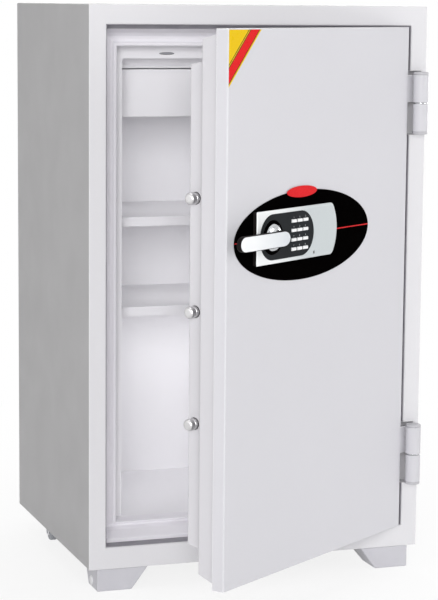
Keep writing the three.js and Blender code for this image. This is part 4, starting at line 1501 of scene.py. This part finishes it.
class SAFE_OT_handle(bpy.types.Operator):
    """Builds the lever, its pale face, the chrome hub and the black ring"""

    bl_idname = "safe.handle"
    bl_label = "Handle"

    def execute(self, context):
        self.ring()
        self.hub()
        self.lever()
        self.face()
        return {"FINISHED"}

    def ring(self):
        """The black ring that stands round the hub."""
        box = door_box("handle_rose")
        outer = box.wide / 2
        inner = 20.8 * MM
        lean = 1.6 * MM
        profile = [
            (inner, box.back),
            (outer, box.back),
            (outer - lean, box.front),
            (inner, box.front),
        ]
        profile = fillet(profile, {2: 1 * MM, 3: 0.6 * MM})
        ring = turned("black_ring", profile, 96, closed=True)
        where = DOOR_FACE @ lever_axis()
        complete(ring, where, "black", "lock_black", "door", "handle_rose", smooth=40)

    def hub(self):
        """A stepped chrome hub with concentric turned rings."""
        box = door_box("handle_hub")
        radius = box.wide / 2
        back, front = box.back, box.front
        steps = [
            (radius, back),
            (radius, back + 2.2 * MM),
            (radius - 1.6 * MM, back + 4 * MM),
            (radius - 3.4 * MM, back + 4.2 * MM),
            (radius - 3.8 * MM, back + 5.4 * MM),
            (radius - 5.6 * MM, back + 6.2 * MM),
            (radius - 6 * MM, back + 7 * MM),
            (radius - 8.6 * MM, back + 8.4 * MM),
            (radius - 9.4 * MM, front - 0.8 * MM),
            (radius - 10.2 * MM, front),
        ]
        profile = fillet(steps, {1: 0.8 * MM, 2: 0.8 * MM, 5: 0.5 * MM, 7: 1 * MM}, 4)
        hub = turned("chrome_hub", profile, 96)
        where = DOOR_FACE @ lever_axis()
        complete(hub, where, "chrome", "chrome", "handle", "handle_hub", smooth=35)

    def lever(self):
        """The lever's black body with a softly rounded back."""
        box = door_box("handle_lever")
        lever = stadium("lever_body", box, box.back, ends=(1.1, 1.35))
        thicken(box.thick, 0.3 * MM, 2)
        opened(lever)
        pick("EDGE", lambda a, b: max(a.z, b.z) < box.back + TOUCHING)
        bpy.ops.mesh.bevel(offset=2 * MM, segments=4, affect="EDGES")
        complete(lever, DOOR_FACE, "soft_black", "lock_black", "handle", "handle_lever")

    def face(self):
        """The lever's pale face, gently crowned."""
        box = door_box("lever_face")
        rim = 0.5 * MM
        face = stadium("lever_plate", box.grown(-rim, -rim), box.back, ends=(1.15, 1.45))
        thicken(box.thick * 0.3)
        opened(face)
        pick("FACE", lambda co, normal: normal.z > 0.9 and co.z > box.back + box.thick * 0.2)
        for inward, rise in ((0.5, 0.3), (0.9, 0.2), (1.3, 0.13), (1.7, 0.07)):
            bpy.ops.mesh.inset(thickness=inward * MM, depth=box.thick * rise)
        complete(face, DOOR_FACE, "lever", "lever_face", "handle", "lever_face", smooth=50)


class SAFE_OT_trim(bpy.types.Operator):
    """Adds the drawer's lock and the plain corner sticker on the door"""

    bl_idname = "safe.trim"
    bl_label = "Drawer lock and sticker"

    def execute(self, context):
        self.drawer_lock()
        self.sticker(context.scene.safe_sizes.sticker_leg)
        return {"FINISHED"}

    def drawer_lock(self):
        """A round cylinder lock with a collar and a key slot."""
        box = drawn_box("drawer_lock")
        collar = box.tall / 2
        barrel = collar - 2.2 * MM
        seat = box.front - 2.8 * MM
        profile = [
            (barrel, box.back),
            (barrel, seat),
            (collar, seat),
            (collar, seat + 1.2 * MM),
            (collar - 1.2 * MM, box.front),
            (collar - 3.4 * MM, box.front),
            (collar - 3.8 * MM, box.front - 0.6 * MM),
        ]
        lock = turned("cylinder_lock", fillet(profile, {3: 0.6 * MM, 4: 0.5 * MM}), 56)
        half_slot, half_long = 0.8 * MM, 3.6 * MM
        depth, over = 3 * MM, 2 * MM
        slot = (-half_slot, half_slot, -half_long, half_long)
        cut_with(lock, block("key_way", Box(*slot, box.front - depth, box.front + over)))
        where = FACE @ Matrix.Translation((box.across, box.up, 0))
        complete(lock, where, "chrome", "chrome", "drawer", "drawer_lock", smooth=40)

    def sticker(self, leg):
        """A thin right triangle in the door's top corner on its free side."""
        from_edge = 1.4 * MM
        corner = Vector((DOOR.x0 + from_edge, DOOR.z1 - from_edge, 0.02 * MM))
        middle = corner + Vector((leg / 2, -leg / 2, 0))
        let_go()
        bpy.ops.mesh.primitive_plane_add(size=1, location=(0, 0, 0))
        piece = started("corner_sticker")
        resize(leg, leg)
        shift(middle)
        bpy.ops.mesh.bisect(plane_co=middle, plane_no=(1, -1, 0), clear_outer=True)
        bpy.ops.mesh.select_all(action="SELECT")
        bpy.ops.mesh.subdivide(number_cuts=6)
        thicken(0.12 * MM)
        share = piece.data.attributes.new("from_corner", "FLOAT", "POINT")
        for vertex, value in zip(piece.data.vertices, share.data):
            away = (vertex.co.x - corner.x) + (corner.y - vertex.co.y)
            value.value = away / leg
        complete(piece, DOOR_FACE, "sticker", "lock_black", "door")


# Studio

class SAFE_OT_stage(bpy.types.Operator):
    """Lays the pale floor and sets the lights, the white surround and the camera"""

    bl_idname = "safe.stage"
    bl_label = "Studio"

    def execute(self, context):
        studio = context.scene.safe_studio
        self.floor(studio)
        self.surround(context, studio)
        self.lights(studio)
        self.camera(context, studio)
        context.scene.view_settings.view_transform = "Standard"
        return {"FINISHED"}

    def floor(self, studio):
        """A wide floor that keeps the shadow near the safe and is plain white further off."""
        radius, border = 7, 5
        near, far = 0.4, 1.5
        white_near = 0.84
        sheet = circle("studio_floor", radius, 96)
        bpy.ops.mesh.inset(thickness=border)
        let_go()
        material, tree, where = blank_material("floor_white")
        base = tuple(studio.floor)
        shader = shaded(tree, {
            "Base Color": tinted(tree, patches(tree, where, 0.8, 2), darker(base, 0.01), base),
            "Roughness": 0.8,
            "Specular IOR Level": 0.1,
        })
        away = add_node(tree, "VectorMath", {0: where}, operation="LENGTH").outputs["Value"]
        self.seen_white(tree, shader, stretched(tree, away, near, far, white_near, 1))
        sheet.data.materials.append(material)

    def seen_white(self, tree, shader, share):
        """Mixes white light into what the camera and mirrors see, and keeps the shadow in the rest."""
        amount = add_node(tree, "Math", {0: self.seen_rays(tree), 1: share}, operation="MULTIPLY")
        light = add_node(tree, "Emission", {"Strength": 1})
        blend = add_node(tree, "MixShader", {
            "Fac": amount.outputs[0],
            1: shader.outputs["BSDF"],
            2: light.outputs["Emission"],
        })
        output = next(n for n in tree.nodes if n.type == "OUTPUT_MATERIAL")
        feed(tree, output.inputs["Surface"], blend.outputs["Shader"])

    def seen_rays(self, tree):
        """1 for rays from the camera, from gloss and through glass."""
        rays = add_node(tree, "LightPath").outputs
        seen = rays["Is Camera Ray"]
        for kind in ("Is Glossy Ray", "Is Transmission Ray"):
            either = add_node(tree, "Math", {0: seen, 1: rays[kind]}, operation="MAXIMUM")
            seen = either.outputs[0]
        return seen

    def surround(self, context, studio):
        """White to look at, and an even soft light on the safe."""
        world = bpy.data.worlds.new("white_surround")
        world.use_nodes = True
        tree = world.node_tree
        tree.nodes.clear()
        white = (1, 1, 1, 1)
        seen = add_node(tree, "Background", {"Color": white})
        cast = add_node(tree, "Background", {"Color": white, "Strength": studio.ambient})
        blend = add_node(tree, "MixShader", {
            "Fac": self.seen_rays(tree),
            1: cast.outputs["Background"],
            2: seen.outputs["Background"],
        })
        add_node(tree, "OutputWorld", {"Surface": blend.outputs["Shader"]})
        context.scene.world = world

    def lights(self, studio):
        """Soft lights on the side the photograph shows, weaker ones all round and one overhead."""
        middle = Vector((0, 0, 0.45))
        for name, at, width, strength in (
            ("key_light", (-2.1, -5.1, 1.6), 2.1, studio.key),
            ("side_light", (2.9, -1.8, 1.3), 1.5, studio.side),
            ("left_light", (-3.2, -1.2, 1.2), 2.0, studio.left),
            ("right_fill", (3.0, 2.4, 1.2), 2.0, studio.fill),
            ("back_fill", (0.9, 3.7, 1.2), 2.0, studio.fill),
            ("top_light", (0, 0, 4.6), 3.0, studio.top),
        ):
            self.lamp(name, at, middle, (width, width), strength)
        in_from_shelf = 90 * MM
        under_ceiling = 4 * MM
        spread = (0.3, 0.14)
        inward = FRONT_Y - drawn_box("lower_shelf").front + in_from_shelf
        for ceiling, low in (
            ("lower_shelf", drawn_box("inner_liner").z0),
            ("upper_shelf", drawn_box("lower_shelf").z1),
            ("drawer", drawn_box("upper_shelf").z1),
        ):
            high = drawn_box(ceiling).z0
            at = Vector((0, inward, high - under_ceiling))
            half_way = Vector((0, inward, (high + low) / 2))
            self.lamp(f"{ceiling}_light", at, half_way, spread, studio.inner)

    def lamp(self, name, at, target, spread, strength):
        """A soft rectangle of light that gives its share of full daylight at the target."""
        let_go()
        bpy.ops.object.light_add(type="AREA", location=at)
        lamp = bpy.context.object
        lamp.name = name
        lamp.data.shape = "RECTANGLE"
        lamp.data.size, lamp.data.size_y = spread
        away = target - Vector(at)
        area = math.pi * spread[0] * spread[1]
        lamp.data.energy = strength * ((math.pi * away.length) ** 2 + area)
        lamp.rotation_euler = away.to_track_quat("-Z", "Y").to_euler()
        lamp.visible_camera = False

    def camera(self, context, studio):
        """The camera at the photograph's viewing angle."""
        let_go()
        yaw = math.radians(18.952)
        pitch = math.radians(-8.069)
        roll = math.radians(0.506)
        level = math.cos(pitch)
        look = Vector((math.sin(yaw) * level, math.cos(yaw) * level, math.sin(pitch)))
        right = Vector((math.cos(yaw), -math.sin(yaw), 0))
        up = right.cross(look)
        tilted_right = right * math.cos(roll) + up * math.sin(roll)
        tilted_up = up * math.cos(roll) - right * math.sin(roll)
        stand = (-1.1242, FRONT_Y - 3.077, 0.9157)
        bpy.ops.object.camera_add(location=stand)
        camera = bpy.context.object
        camera.name = "studio_camera"
        turn = Matrix((tilted_right, tilted_up, -look)).transposed()
        camera.rotation_euler = turn.to_euler()
        camera.data.sensor_fit = "VERTICAL"
        camera.data.sensor_height = 36
        camera.data.lens = studio.lens
        context.scene.camera = camera


SETTINGS = (SafeSizes, SafeColours, SafeStudio)
STEPS = (
    SAFE_OT_body,
    SAFE_OT_jamb,
    SAFE_OT_feet,
    SAFE_OT_casters,
    SAFE_OT_hinges,
    SAFE_OT_door,
    SAFE_OT_bolts,
    SAFE_OT_lock,
    SAFE_OT_keys,
    SAFE_OT_handle,
    SAFE_OT_trim,
    SAFE_OT_stage,
)


class SAFE_PT_panel(bpy.types.Panel):
    """The safe's building steps and settings."""

    bl_label = "Fireproof safe"
    bl_idname = "SAFE_PT_panel"
    bl_space_type = "VIEW_3D"
    bl_region_type = "UI"
    bl_category = "Safe"

    def draw(self, context):
        for step in STEPS:
            self.layout.operator(step.bl_idname)
        for group in ("safe_sizes", "safe_colours", "safe_studio"):
            settings = getattr(context.scene, group)
            box = self.layout.box()
            for name in settings.__annotations__:
                box.prop(settings, name)


def register():
    for group in SETTINGS:
        bpy.utils.register_class(group)
    bpy.types.Scene.safe_sizes = PointerProperty(type=SafeSizes)
    bpy.types.Scene.safe_colours = PointerProperty(type=SafeColours)
    bpy.types.Scene.safe_studio = PointerProperty(type=SafeStudio)
    for step in STEPS:
        bpy.utils.register_class(step)
    bpy.utils.register_class(SAFE_PT_panel)


def unregister():
    bpy.utils.unregister_class(SAFE_PT_panel)
    for step in reversed(STEPS):
        bpy.utils.unregister_class(step)
    del bpy.types.Scene.safe_studio
    del bpy.types.Scene.safe_colours
    del bpy.types.Scene.safe_sizes
    for group in reversed(SETTINGS):
        bpy.utils.unregister_class(group)


def main():
    register()
    mix_finishes(bpy.context.scene.safe_colours)
    for step in STEPS:
        group, name = step.bl_idname.split(".")
        getattr(getattr(bpy.ops, group), name)()


if __name__ == "__main__":
    main()
